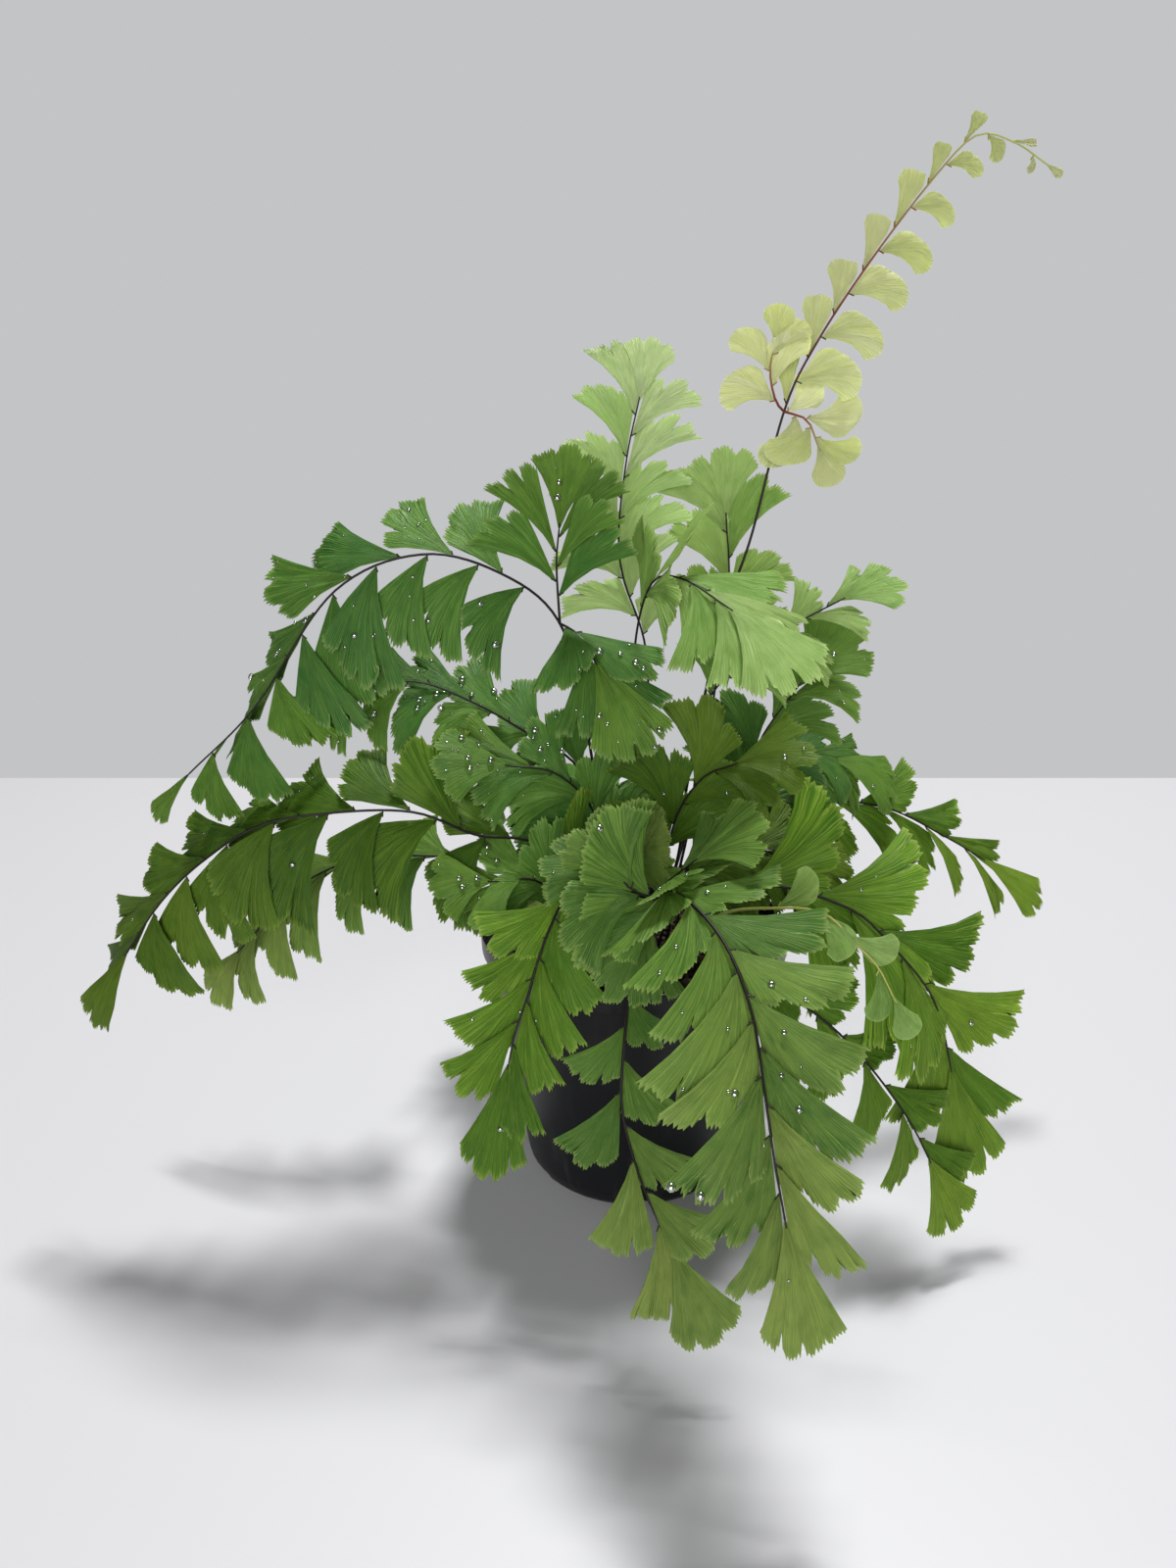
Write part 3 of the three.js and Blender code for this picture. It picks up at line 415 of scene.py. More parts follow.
FINE_SPRAYS = {
    "frond_front": [
        spray_on([(5, -72, 143), (1, -75, 146), (-4, -77, 149), (-8, -76, 153)],
                 count=5, start=0.1, end=0.9, size=25, grow=(1.15, 1.1, 0.9), wide=0.8,
                 faces=(0, -0.9, 0.45), lean=4, tip_lean=24, droop=0.3, first=-1, tip=0.9, new=0.3),
        spray_on([(6, -73, 143), (4, -78, 141), (1, -81, 137)],
                 count=2, start=0.4, end=0.9, size=21, wide=0.8, faces=(0, -0.9, 0.45), lean=14,
                 tip_lean=24, droop=0.3, new=0.3),
        spray_on([(5, -72, 143), (7, -78, 146)],
                 count=1, start=0.6, end=0.8, size=9, wide=0.8, plain=True, faces=(0, -0.9, 0.45),
                 lean=30, tip_lean=30, droop=0.2, tip=0.9)],
    "frond_inner_right": [
        spray_on([(9, -8, 120), (28, -5, 128), (44, -3, 133), (60, -3, 131)],
                 count=8, start=0.12, end=0.92, size=27, grow=(1, 1, 0.9), wide=0.7,
                 faces=(0.1, -0.75, 0.65), lean=16, tip_lean=34, tip=1)],
    "frond_inner_front": [
        spray_on([(-5, -22, 112), (-14, -30, 116), (-22, -37, 116)],
                 count=4, start=0.4, end=0.92, size=24, grow=(1, 1, 0.9), wide=0.7,
                 faces=(0, -0.8, 0.6), lean=16, tip_lean=34, tip=1)],
    "frond_right_tip": [spray_on(coil((50, 15, 210), (62, 11, 208)), count=-1)],
}
print(sum(spray["count"] + 1 for sprays in FINE_SPRAYS.values() for spray in sprays), "leaflets more")

# %% [markdown]
# A stem follows a smooth curve through its points. This one is cubic between each two of them, and
# at every point it runs parallel to the line between that point's two neighbours, so it bends
# evenly and passes through every point. The curve is measured once, so that a leaflet can be put
# at a share of its length, whatever the spacing of the points.

# %% The midrib
class Midrib:
    STEPS = 16

    def __init__(self, path):
        points = [Vector(point) for point in path]
        ends = [points[0] * 2 - points[1], *points, points[-1] * 2 - points[-2]]
        self.line = [points[0]]
        for i in range(len(points) - 1):
            before, start, end, after = ends[i:i + 4]
            first, last = (end - before) / 2, (after - start) / 2
            for step in range(1, self.STEPS + 1):
                t = step / self.STEPS
                self.line.append(start * (2 * t**3 - 3 * t**2 + 1) + first * (t**3 - 2 * t**2 + t)
                                 + end * (3 * t**2 - 2 * t**3) + last * (t**3 - t**2))
        self.run = [0]
        for a, b in zip(self.line, self.line[1:]):
            self.run.append(self.run[-1] + (b - a).length)
        self.length = self.run[-1]

    def at(self, share):
        distance = share * self.length
        i = 0
        while i < len(self.line) - 2 and self.run[i + 1] <= distance:
            i += 1
        a, b = self.line[i], self.line[i + 1]
        return a.lerp(b, (distance - self.run[i]) / (self.run[i + 1] - self.run[i])), (b - a).normalized()


print("a midrib is drawn in", Midrib.STEPS, "steps from point to point")

# %% [markdown]
# A leaflet is told by a small frame: its heart, where the blade begins to fan out, the direction
# out along its lower margin, the direction across it, and its length, breadth, droop and spread.
# All of it follows from the spray's numbers and a draw that is always the same for the same
# leaflet, so the frames come out exactly as in the model. The one thing that the rule can't know
# is where a leaflet made room for another frond: it may be turned, tilted or smaller than planned.

# %% The leaflet's frame
# Lengths in millimetres and angles in degrees, as in the model. What varies does so by a share of
# itself, where it is less than 1, or else by so many degrees.
NECK = 2
SPREAD = 74
CLEAR_OF_STEM = 84
TILT = 8
SEEDS_APART = {"frond": 7, "leaflet": 31}
DRAWS = 7
VARIES = {"length": 0.08, "wide": 0.08, "droop": 0.25, "lean": 5, "lift": 6, "tilt": 5}
END_HANGS = 0.3
LOBED = {"notch": 0.87, "square": 2.8, "large": 37}
DOWN = Vector((0, 0, -1))
PLACES = [(turn, tilt, shrink) for shrink in (1, 0.8) for turn in (0, 10, -10, 20, -20, 34, -34)
          for tilt in (0, 9, -9)]


def mix(a, b, share):
    return a + (b - a) * share


def wobble(seed, kind):
    # A well-known way to draw a number from -1 to 1 that is always the same for the same seed.
    value = math.sin(seed * 12.9898 + kind * 78.233) * 43758.5453
    return (value - math.floor(value)) * 2 - 1


def upper_side(spray, share, tangent):
    along = min(max((share - spray["start"]) / (spray["end"] - spray["start"]), 0), 1)
    faces = Vector(spray["faces"]).lerp(Vector(spray.get("tip_faces", spray["faces"])), along)
    return (faces - tangent * faces.dot(tangent)).normalized()


def leaflet_frame(spray, midrib, seed, i, place):
    turn, tilt, shrink = place
    ends = i == spray["count"]
    along = 1 if ends else i / max(spray["count"] - 1, 1)
    share = 1 if ends else mix(spray["start"], spray["end"], along)
    point, tangent = midrib.at(share)
    normal = upper_side(spray, share, tangent)
    binormal = tangent.cross(normal)
    draws = [wobble(seed * SEEDS_APART["leaflet"] + i, kind) for kind in range(DRAWS)]

    base, middle, tip = spray["grow"]
    growth = mix(base, middle, along * 2) if along < 0.5 else mix(middle, tip, along * 2 - 1)
    length = spray["size"] * growth * (1 + VARIES["length"] * draws[1])
    length *= (spray["tip"] if ends else 1) * shrink
    if ends:
        turned = math.radians(turn)
        out = (tangent * math.cos(turned) + normal * math.sin(turned)
               + DOWN * END_HANGS * spray["hang"]).normalized()
        across = (binormal - out * binormal.dot(out)).normalized()
        spread = math.radians(spray["fan"])
    else:
        side = -1 if i % 2 else 1
        lean = math.radians(mix(spray["lean"], spray["tip_lean"], along) + spray["split"] * side
                            + VARIES["lean"] * draws[2])
        fold = mix(spray["fold"], spray.get("tip_fold", spray["fold"]), along)
        lift = math.radians(VARIES["lift"] * draws[3] + turn - fold)
        spread = min(math.radians(SPREAD), math.radians(CLEAR_OF_STEM) - lean)
        sideways = binormal * spray["first"] * side * math.cos(lift) + normal * math.sin(lift)
        out = (sideways * math.cos(lean) + tangent * math.sin(lean) + DOWN * spray["hang"]).normalized()
        across = (tangent - out * tangent.dot(out)).normalized()
        under = math.radians(TILT + VARIES["tilt"] * draws[4] + tilt)
        up = out.cross(across)
        if up.dot(normal) < 0:
            up.negate()
        across = (across * math.cos(under) - up * math.sin(under)).normalized()
    return {
        "root": point, "heart": point + out * NECK, "out": out, "across": across, "length": length,
        "wide": spray["wide"] * (1 + VARIES["wide"] * draws[6]),
        "droop": spray["droop"] * (1 + VARIES["droop"] * draws[5]),
        "ends": ends, "spread": spread, "begin": -spread / 2 if ends else 0,
        "lobes": 0 if spray["plain"] else 3 if length < LOBED["large"] else 4,
        "hand": 1 if out.cross(across).dot(normal) > 0 else -1, "draw": (draws[0] + 1) / 2,
        "along": along * spray["new"],
    }


print("a leaflet has", len(PLACES), "places to choose from")

# %% [markdown]
# So that last thing is read from the model. A blade is a sheet 0.65 mm thick, so each corner of a
# leaflet's outline has a vertex of the solid 0.325 mm away, above and below it. Of all the places
# that a leaflet can take, the true one is the one whose corners fit the solid best. A tree of the
# solid's vertices finds the nearest one at once. A leaflet that fits nowhere was left out of the
# model, so it is left out here too.

# %% The leaflets' places
FITS = 0.45
ROUND_END = 0.12
PLAIN_CORNERS = 5
FINE_SEED = 200


def blade_point(leaf, reach, phi):
    heading = leaf["out"] * math.cos(phi) + leaf["across"] * math.sin(phi)
    fall = DOWN - heading * DOWN.dot(heading)
    half = leaf["droop"] * reach * fall.length / 2
    chord = reach * leaf["length"] * (math.sin(half) / half if half > 1e-6 else 1)
    return leaf["heart"] + heading * chord * math.cos(half) + fall.normalized() * chord * math.sin(half)


def corners(leaf):
    count = 2 * leaf["lobes"] + 1 if leaf["lobes"] else PLAIN_CORNERS
    for i in range(count):
        phi = leaf["begin"] + leaf["spread"] * i / (count - 1)
        low = i % 2 == 0 if leaf["lobes"] else i % 4 == 0
        if leaf["ends"]:
            reach = 1 - ROUND_END * (2 * phi / leaf["spread"]) ** 2
        else:
            power = LOBED["square"]
            reach = (math.cos(phi) ** power + (math.sin(phi) / leaf["wide"]) ** power) ** (-1 / power)
        yield blade_point(leaf, reach * (LOBED["notch"] if low else 1), phi)


def placed_leaflets(name, sprays):
    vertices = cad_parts[name].data.vertices
    solid = KDTree(len(vertices))
    for vertex in vertices:
        solid.insert(vertex.co / MM, vertex.index)
    solid.balance()
    first_seed = list(FRONDS).index(name) * SEEDS_APART["frond"] + 1
    for k, (spray, midrib) in enumerate(sprays):
        for i in range(spray["count"] + 1):
            leaves = [leaflet_frame(spray, midrib, first_seed + k, i, place) for place in PLACES]
            misfits = [sum(solid.find(point)[2] for point in corners(leaf)) / len(list(corners(leaf)))
                       for leaf in leaves]
            best = misfits.index(min(misfits))
            if misfits[best] < FITS:
                leaf = leaves[best]
                leaf["spread"] *= spray["slim"]
                leaf["begin"] *= spray["slim"]
                yield k, i, leaf


plants = {}
for name, (slot, sprays) in FRONDS.items():
    lines = [(spray, Midrib(spray["path"])) for spray in sprays]
    leaves = list(placed_leaflets(name, lines))
    for fine in FINE_SPRAYS.get(name, []):
        k = len(lines)
        lines.append((fine, Midrib(fine["path"])))
        leaves += [(k, i, leaflet_frame(*lines[k], FINE_SEED + k, i, PLACES[0]))
                   for i in range(fine["count"] + 1)]
    plants[name] = (slot, lines, leaves)
print("placed", sum(len(leaves) for slot, lines, leaves in plants.values()), "leaflets")

# %% [markdown]
# A fern leaf is thin enough for light to pass through, so its shader is a mix of two: a satin
# surface that scatters light back, and a translucent one that lets it through in a yellower
# green. The detail is drawn in the blade's own map, where u runs across the fan and v from its
# base to its margin, so the veins fan out with the blade: they fork once half way, with bands
# of lighter and darker green between them, a pale thread along the margin and a paler underside.
# No two leaflets have quite the same green, so each one's draw shifts it a little.

# %% The leaf shader
VEINS = 18
VEIN_FORKS = (0.35, 0.6)
VEIN_WIDTH = (0.14, 0.02)
VEIN_SHOWS = 0.7
VEINS_WANDER = 0.03
BANDS = (42, 1.3, 1)  # how often they change across the fan, along it, and from leaflet to leaflet
BAND_EDGES = (0.38, 0.62)
OWN_PATTERN = (1, 1, 60)
MARGIN = (0.94, 1.0)
LEAF_IOR = 1.42
LEAF_RELIEF = 0.35 * MM
GLOW_SHARE = 0.6


def leaf_material(name, blade, band, aged, tip, under, glow, margin, roughness, light_through):
    material, tree = new_material(name)
    blade_map = add(tree, "ShaderNodeUVMap", uv_map="blade_uv")
    draw, upper, along = [add(tree, ATTRIBUTE, attribute_name=field).node.outputs["Fac"]
                          for field in ("draw", "upper", "along")]
    offset = add(tree, "ShaderNodeCombineXYZ", 0.0, 0.0, draw)
    own_map = add(tree, VECTOR, "MULTIPLY_ADD", offset, OWN_PATTERN, blade_map)
    drift = add(tree, NOISE, own_map, named={"Scale": 5.0, "Detail": 2.0})
    sides = add(tree, "ShaderNodeSeparateXYZ", blade_map).node
    u, v = sides.outputs["X"], sides.outputs["Y"]
    u = add(tree, MATH, "MULTIPLY_ADD", drift, VEINS_WANDER, u)

    # Veins: one thin line for each, twice as many past the middle of the blade.
    veins = [add(tree, MATH, "PINGPONG", add(tree, MATH, "MULTIPLY", u, float(count)), 0.5)
             for count in (VEINS, 2 * VEINS)]
    vein = add(tree, MIX, add(tree, RANGE, v, *VEIN_FORKS), *veins)
    vein = add(tree, RANGE, vein, *VEIN_WIDTH)

    # Bands between the veins, long along the blade and narrow across it.
    bands = add(tree, NOISE, add(tree, VECTOR, "MULTIPLY", own_map, BANDS),
                named={"Scale": 1.0, "Detail": 3.0})
    bands = add(tree, RANGE, bands, *BAND_EDGES)

    # The colour starts from the bands, and each thing that changes it mixes in its own hue.
    newer = add(tree, RANGE, along, 0.2, 1.0, 0.0, 0.8)
    older = add(tree, MATH, "ADD", add(tree, RANGE, drift, 0.45, 0.7, 0.0, 0.35),
                add(tree, RANGE, draw, 0.3, 1.0, 0.0, 0.75))
    on_vein = add(tree, MATH, "MULTIPLY", vein, VEIN_SHOWS)
    on_edge = add(tree, RANGE, v, *MARGIN, 0.0, 0.55)
    below = add(tree, RANGE, upper, 0.5, 0.3, 0.0, 0.7)
    colour = add(tree, MIX, bands, linear(blade), linear(band), data_type="RGBA")
    for share, hue in ((newer, tip), (older, aged), (on_vein, margin), (on_edge, margin), (below, under)):
        colour = add(tree, MIX, share, colour, linear(hue), data_type="RGBA")

    height = add(tree, MATH, "ADD", bands, vein)
    relief = add(tree, "ShaderNodeBump", named={"Strength": 0.7, "Distance": LEAF_RELIEF, "Height": height})
    skin = add(tree, PRINCIPLED, named={"Base Color": colour, "Roughness": roughness, "IOR": LEAF_IOR,
                                        "Specular IOR Level": 0.3, "Normal": relief})
    through = add(tree, MIX, GLOW_SHARE, colour, linear(glow), data_type="RGBA")
    through = add(tree, "ShaderNodeBsdfTranslucent", through, relief)
    add(tree, OUTPUT, add(tree, "ShaderNodeMixShader", light_through, skin, through))
    return material


print("each leaflet shows", VEINS, "veins, and twice as many at its margin")

# %% [markdown]
# The plant carries leaflets of seven greens. Each is told by its colours, in the order of blade,
# band, aged blade, new tip, underside, glow against the light and margin, then by its roughness
# and the share of the light that it lets through. Three serve the slots of the model's record, and
# a frond that is deeper or paler than its slot has one of the others. Two of these are copies of
# the mature green: a darker one with painted shade and a lighter one with painted light.

# %% Leaf materials
# Older pinnae have a waxy cuticle: a deep green with a soft grey sheen.
mature = leaf_material("mature_fern_cuticle", "#447a27", "#7aaa48", "#39702e", "#729935", "#7f9d5c",
                       "#94bd35", "#a6c070", 0.46, 0.36)
# Older pinnae low on the plant and in the crown take painted shade: a darker copy of the mature
# green, without its grey, and the deepest green of all.
deep = leaf_material("painted_shade_fern_cuticle", "#3b6613", "#678c25", "#345e14", "#6d8928", "#6f8633",
                     "#85a31a", "#8fa746", 0.46, 0.38)
# Fronds that reach out at the right and the front take painted light: a lighter, warmer and
# yellower copy of the mature green.
painted_lit = leaf_material("painted_lit_fern_cuticle", "#4d7e1c", "#83ad33", "#44751e", "#8aa837", "#8ca545",
                       "#a8c925", "#b4cd5e", 0.46, 0.38)
# Pinnae of this season are thinner, lighter and yellower, and let more light through.
light = leaf_material("light_fern_cuticle", "#4e7c2a", "#7fa746", "#45732c", "#a8ba60", "#86a854",
                      "#a4be39", "#b0c772", 0.45, 0.4)
# Pinnae near the top have opened in the last weeks: bright, thin and still a little yellow.
fresh = leaf_material("fresh_fern_cuticle", "#8cbb53", "#bad97d", "#7cad4b", "#c1df8e", "#bdd591",
                      "#d1e475", "#d1e49b", 0.48, 0.42)
# Pinnae that have just opened are soft and matte, yellow-green and nearly see-through.
young = leaf_material("young_fern_tissue", "#eef4ac", "#fefee2", "#e2ee9a", "#f4f4c4", "#eaf4b2",
                      "#fbffb8", "#fafcd8", 0.52, 0.46)
# The topmost frond is the newest of the open ones and the palest green of all.
newest = leaf_material("newest_fern_cuticle", "#c0e48c", "#e6fabc", "#b0da7c", "#ecfac8", "#dcf0bc",
                       "#e8f8a0", "#ecfacc", 0.5, 0.46)
LEAF_MATERIALS = {"mature_frond": mature, "light_frond": light, "young_frond": young}
# The copy with painted light goes to the fronds at the right and the front, and the copy with painted shade
# goes to the low left frond and the inner right one.
OWN_MATERIALS = {"frond_top": newest, "frond_top_right": fresh, "frond_centre": fresh,
                 "frond_right_tip": fresh, "frond_shoot": fresh, "frond_right_low": painted_lit,
                 "frond_right_under": painted_lit, "frond_far_right": painted_lit, "frond_low_left": deep,
                 "frond_front_left": painted_lit, "frond_inner_right": deep}
print(len({*LEAF_MATERIALS.values(), *OWN_MATERIALS.values()}), "leaf materials")

# %% [markdown]
# The stalks are what this fern is known for: as thin and black as wire, with the hard shine of
# lacquer. Only where a frond has just grown are they red-brown and then green, so the colour
# follows a number stored along each stem, from 0 where it is ripe to 1 where it is new.

# %% Stem material
STEM_COLOURS = ((0, "#17100e"), (0.3, "#33170f"), (0.6, "#82422a"), (1, "#a3ab5a"))

stem_material, tree = new_material("lacquer_black_stipe")
bark = add(tree, ATTRIBUTE, attribute_name="bark").node.outputs["Fac"]
ramp = add(tree, "ShaderNodeValToRGB", bark).node
for place, hex_colour in STEM_COLOURS[1:-1]:
    ramp.color_ramp.elements.new(place)
for element, (place, hex_colour) in zip(ramp.color_ramp.elements, STEM_COLOURS):
    element.position = place
    element.color = linear(hex_colour)
stipe = add(tree, PRINCIPLED, named={"Base Color": ramp.outputs["Color"], "Roughness": 0.5, "IOR": 1.45,
                                     "Specular IOR Level": 0.35})
add(tree, OUTPUT, stipe)
print("the stems go from black to green in", len(STEM_COLOURS), "colours")

# %% [markdown]
# A fern is misted often, and water stands on its leaflets in drops. Real water bends the light,
# which a drop of a millimetre hardly shows, and a drop so small throws no shadow of its own. So it
# is drawn clear, and what shows of it is the light in its skin, as much as an IOR of 1.333 gives
# back, and the light that it gathers like a lens.

# %% Water
WATER_IOR = 1.333
LENS_LIGHT = 0.4

water, tree = new_material("clear_water")
clear = add(tree, "ShaderNodeBsdfTransparent")
skin = add(tree, "ShaderNodeBsdfGlossy", named={"Roughness": 0.16})
edge = add(tree, "ShaderNodeFresnel", named={"IOR": WATER_IOR})
lens = add(tree, RANGE, edge, 0.0, 1.0, LENS_LIGHT, 1.0)
add(tree, OUTPUT, add(tree, "ShaderNodeMixShader", lens, clear, skin))
print("the drops have", len(tree.nodes), "nodes")

# %% [markdown]
# A frond starts as a skeleton: lines along its stems, with their radius and age at every point,
# and one loose point for each leaflet, with the numbers of its frame stored on it. Geometry Nodes
# read such stored numbers by name. The true stems are thinner than the model's, which needed a
# solid that can be handled.

# %% The skeleton of a frond
STEM_STEP = 4
STEM_RADIUS = {"foot": 0.68, "branch": 0.5, "tip": 0.3, "stalk": 0.24}
STALK_REACH = 0.4
VECTORS = ("heart", "out", "across")
NUMBERS = ("is_leaf", "length", "wide", "droop", "spread", "begin", "ends", "lobes", "hand", "draw",
           "stem_radius")
FOR_SHADERS = ("along", "bark")
IN_MM = ("heart", "length", "stem_radius")


def stem_line(midrib, radius, bark):
    count = max(4, round(midrib.length / STEM_STEP))
    for i in range(count + 1):
        share = i / count
        radius_here = mix(radius, STEM_RADIUS["tip"], share)
        yield midrib.at(share)[0], {"stem_radius": radius_here, "bark": bark(share)}


def skeleton(name, lines, leaves, barks):
    points, edges, rows = [], [], []
    barks = [barks[min(k, len(barks) - 1)] for k in range(len(lines))]
    for k, (spray, midrib) in enumerate(lines):
        radius = STEM_RADIUS["branch" if k else "foot"]
        for step, (point, row) in enumerate(stem_line(midrib, radius, barks[k])):
            if step:
                edges.append((len(points) - 1, len(points)))
            points.append(point)
            rows.append(row)
    for k, i, leaf in leaves:
        bark = barks[k](i / lines[k][0]["count"] * 0.5 + 0.5)
        stalk = {"stem_radius": STEM_RADIUS["stalk"], "bark": bark}
        edges.append((len(points), len(points) + 1))
        points += [leaf["root"], leaf["heart"] + leaf["out"] * STALK_REACH]
        rows += [stalk, stalk]
    for k, i, leaf in leaves:
        points.append(Vector())
        rows.append({**leaf, "is_leaf": 1})
    mesh = bpy.data.meshes.new(name)
    mesh.from_pydata([point * MM for point in points], edges, [])
    for field in VECTORS + NUMBERS + FOR_SHADERS:
        scale = MM if field in IN_MM else 1
        if field in VECTORS:
            attribute = mesh.attributes.new(field, "FLOAT_VECTOR", "POINT")
            values = [part * scale for row in rows for part in row.get(field, Vector())]
            attribute.data.foreach_set("vector", values)
        else:
            attribute = mesh.attributes.new(field, "FLOAT", "POINT")
            attribute.data.foreach_set("value", [float(row.get(field, 0)) * scale for row in rows])
    return mesh


print("a stem is", 2 * STEM_RADIUS["foot"], "mm thick at its foot and", 2 * STEM_RADIUS["tip"], "at its tip")

# %% [markdown]
# A leaflet is grown from a blank: a flat closed pillow of two sheets that share their rim, one
# unit wide and one unit long. Its x is the share of the way across the fan and its y the share of
# the way out, and the same two numbers are its map for the material. The rows stand closer near
# the margin, where the teeth are, and the edges of the rim are sharp, so that the shading of one
# sheet doesn't run over into the other.

# %% The blank of a leaflet
COLUMNS = 52
ROW_SHARES = (0, 0.22, 0.46, 0.7, 0.91, 1)


def leaf_blank():
    mesh = bpy.data.meshes.new("leaf_blank")
    maker = bmesh.new()
    blade_map = maker.loops.layers.uv.new("blade_uv")
    face_side = maker.verts.layers.float.new("side")
    sheets = []
    rows = len(ROW_SHARES) - 1
    for side in (1, -1):
        sheet = {}
        for i in range(COLUMNS + 1):
            for j, share in enumerate(ROW_SHARES):
                on_rim = i in (0, COLUMNS) or j in (0, rows)
                if on_rim and sheets:
                    sheet[i, j] = sheets[0][i, j]
                    continue
                sheet[i, j] = maker.verts.new((i / COLUMNS, share, 0))
                sheet[i, j][face_side] = 0 if on_rim else side
        sheets.append(sheet)
        for i in range(COLUMNS):
            for j in range(rows):
                loop = [sheet[i, j], sheet[i, j + 1], sheet[i + 1, j + 1], sheet[i + 1, j]]
                face = maker.faces.new(loop if side == 1 else loop[::-1])
                for corner in face.loops:
                    corner[blade_map].uv = corner.vert.co.xy
    for edge in maker.edges:
        edge.smooth = any(vertex[face_side] for vertex in edge.verts)
    maker.to_mesh(mesh)
    maker.free()
    return bpy.data.objects.new("leaf_blank", mesh)


blank = leaf_blank()
print("the blank has", len(blank.data.polygons), "faces")

# %% [markdown]
# A tree of Geometry Nodes works on one piece and has named inputs, so that its sizes can be
# changed without looking inside. A modifier runs it. When it is done, the result is kept as a
# plain mesh in place of the skeleton, and the numbers that no material reads are dropped.

# %% Growing with a tree
TAU = 2 * math.pi


def new_tree(name, inputs):
    tree = bpy.data.node_groups.new(name, "GeometryNodeTree")
    tree.interface.new_socket("Geometry", in_out="INPUT", socket_type="NodeSocketGeometry")
    for label, (kind, value) in inputs.items():
        socket = tree.interface.new_socket(label, in_out="INPUT", socket_type="NodeSocket" + kind)
        if value is not None:
            socket.default_value = value
    tree.interface.new_socket("Geometry", in_out="OUTPUT", socket_type="NodeSocketGeometry")
    return tree, tree.nodes.new("NodeGroupInput").outputs


def keep_result(piece):
    graph = bpy.context.evaluated_depsgraph_get()
    plain = bpy.data.meshes.new_from_object(piece.evaluated_get(graph), depsgraph=graph)
    piece.modifiers.clear()
    piece.data = plain
    return plain


def grown(name, mesh, tree, values, drop=()):
    piece = put(name, mesh)
    modifier = piece.modifiers.new(tree.name, "NODES")
    modifier.node_group = tree
    for item in tree.interface.items_tree:
        if item.name in values:
            modifier[item.identifier] = values[item.name]
    plain = keep_result(piece)
    for field in drop:
        if field in plain.attributes:
            plain.attributes.remove(plain.attributes[field])
    return piece


print("one turn is", round(TAU, 4), "radians")

# %% [markdown]
# One tree grows the whole frond. Its first branch turns the lines into curves and draws a round
# section along them. Its second puts the blank on every leaflet point, and the cells after this
# one move each vertex of it by a formula. What is random there is drawn for a number of the
# leaflet's own, so that no two leaflets have the same teeth, cuts or ripples.

# %% The stems and the blanks
NAMED = "GeometryNodeInputNamedAttribute"
RANDOM = "FunctionNodeRandomValue"
MOVE = "GeometryNodeSetPosition"
OWN_NUMBERS = {"column": 7000.0, "cut": 5000.0, "tooth": 9000.0, "margin": 90.0, "ripple": 40.0}

frond_tree, given = new_tree("grow_frond", {
    "Blank": ("Object", None), "Stem sides": ("Int", 8), "Neck width": ("Float", 0.8 * MM),
    "Drawn back": ("Float", 1.4 * MM), "Thickness": ("Float", 0.28 * MM), "Slim base": ("Float", 0.8),
    "Wide margin": ("Float", 1.14), "Close to stem": ("Float", 0.18), "Breadth": ("Float", 1.14),
    "Plain size": ("Float", 0.9), "Square corners": ("Float", 3.6), "Shallow cut": ("Float", 0.02),
    "Deep cut": ("Float", 0.17), "Tooth": ("Float", 0.06), "Teeth": ("Float", COLUMNS / 2),
    "Uneven": ("Float", 0.42 / COLUMNS), "Horn": ("Float", 0.07), "Ripple": ("Float", 0.1),
    "Ragged": ("Float", 0.22), "Drops per square metre": ("Float", 0.0),
    "Smallest drop": ("Float", 0.45 * MM), "Largest drop": ("Float", 1.5 * MM),
    "Water": ("Material", None), "Leaf": ("Material", None), "Stem": ("Material", None),
    "Seed": ("Int", 3)})
tree = frond_tree
leaf = {field: add(tree, NAMED, field, data_type="FLOAT_VECTOR") for field in VECTORS}
leaf |= {field: add(tree, NAMED, field) for field in (*NUMBERS, "side")}

curves = add(tree, "GeometryNodeMeshToCurve", given["Geometry"])
section = add(tree, "GeometryNodeCurvePrimitiveCircle", given["Stem sides"], named={"Radius": 1.0})
stems = add(tree, "GeometryNodeCurveToMesh", curves, section, leaf["stem_radius"], True)

blanks = add(tree, "GeometryNodeObjectInfo", given["Blank"]).node.outputs["Geometry"]
blades = add(tree, "GeometryNodeInstanceOnPoints", given["Geometry"], leaf["is_leaf"], blanks)
blades = add(tree, "GeometryNodeRealizeInstances", blades)
shares = add(tree, "ShaderNodeSeparateXYZ", add(tree, "GeometryNodeInputPosition")).node
u, v = shares.outputs["X"], shares.outputs["Y"]
print("the tree reads", len(leaf), "stored numbers")

# %% [markdown]
# First comes the direction phi in which a vertex lies. It turns through the fan as u goes from 0
# to 1. On a real leaflet the lower margin lies close along the stem and the sides curve outwards,
# so the turn is less near the base and more at the margin. Near the margin the columns are shaken
# a little too, so that no two teeth are equally wide.

# %% The direction of each vertex
SHAKEN_NEAR_MARGIN = 6.0

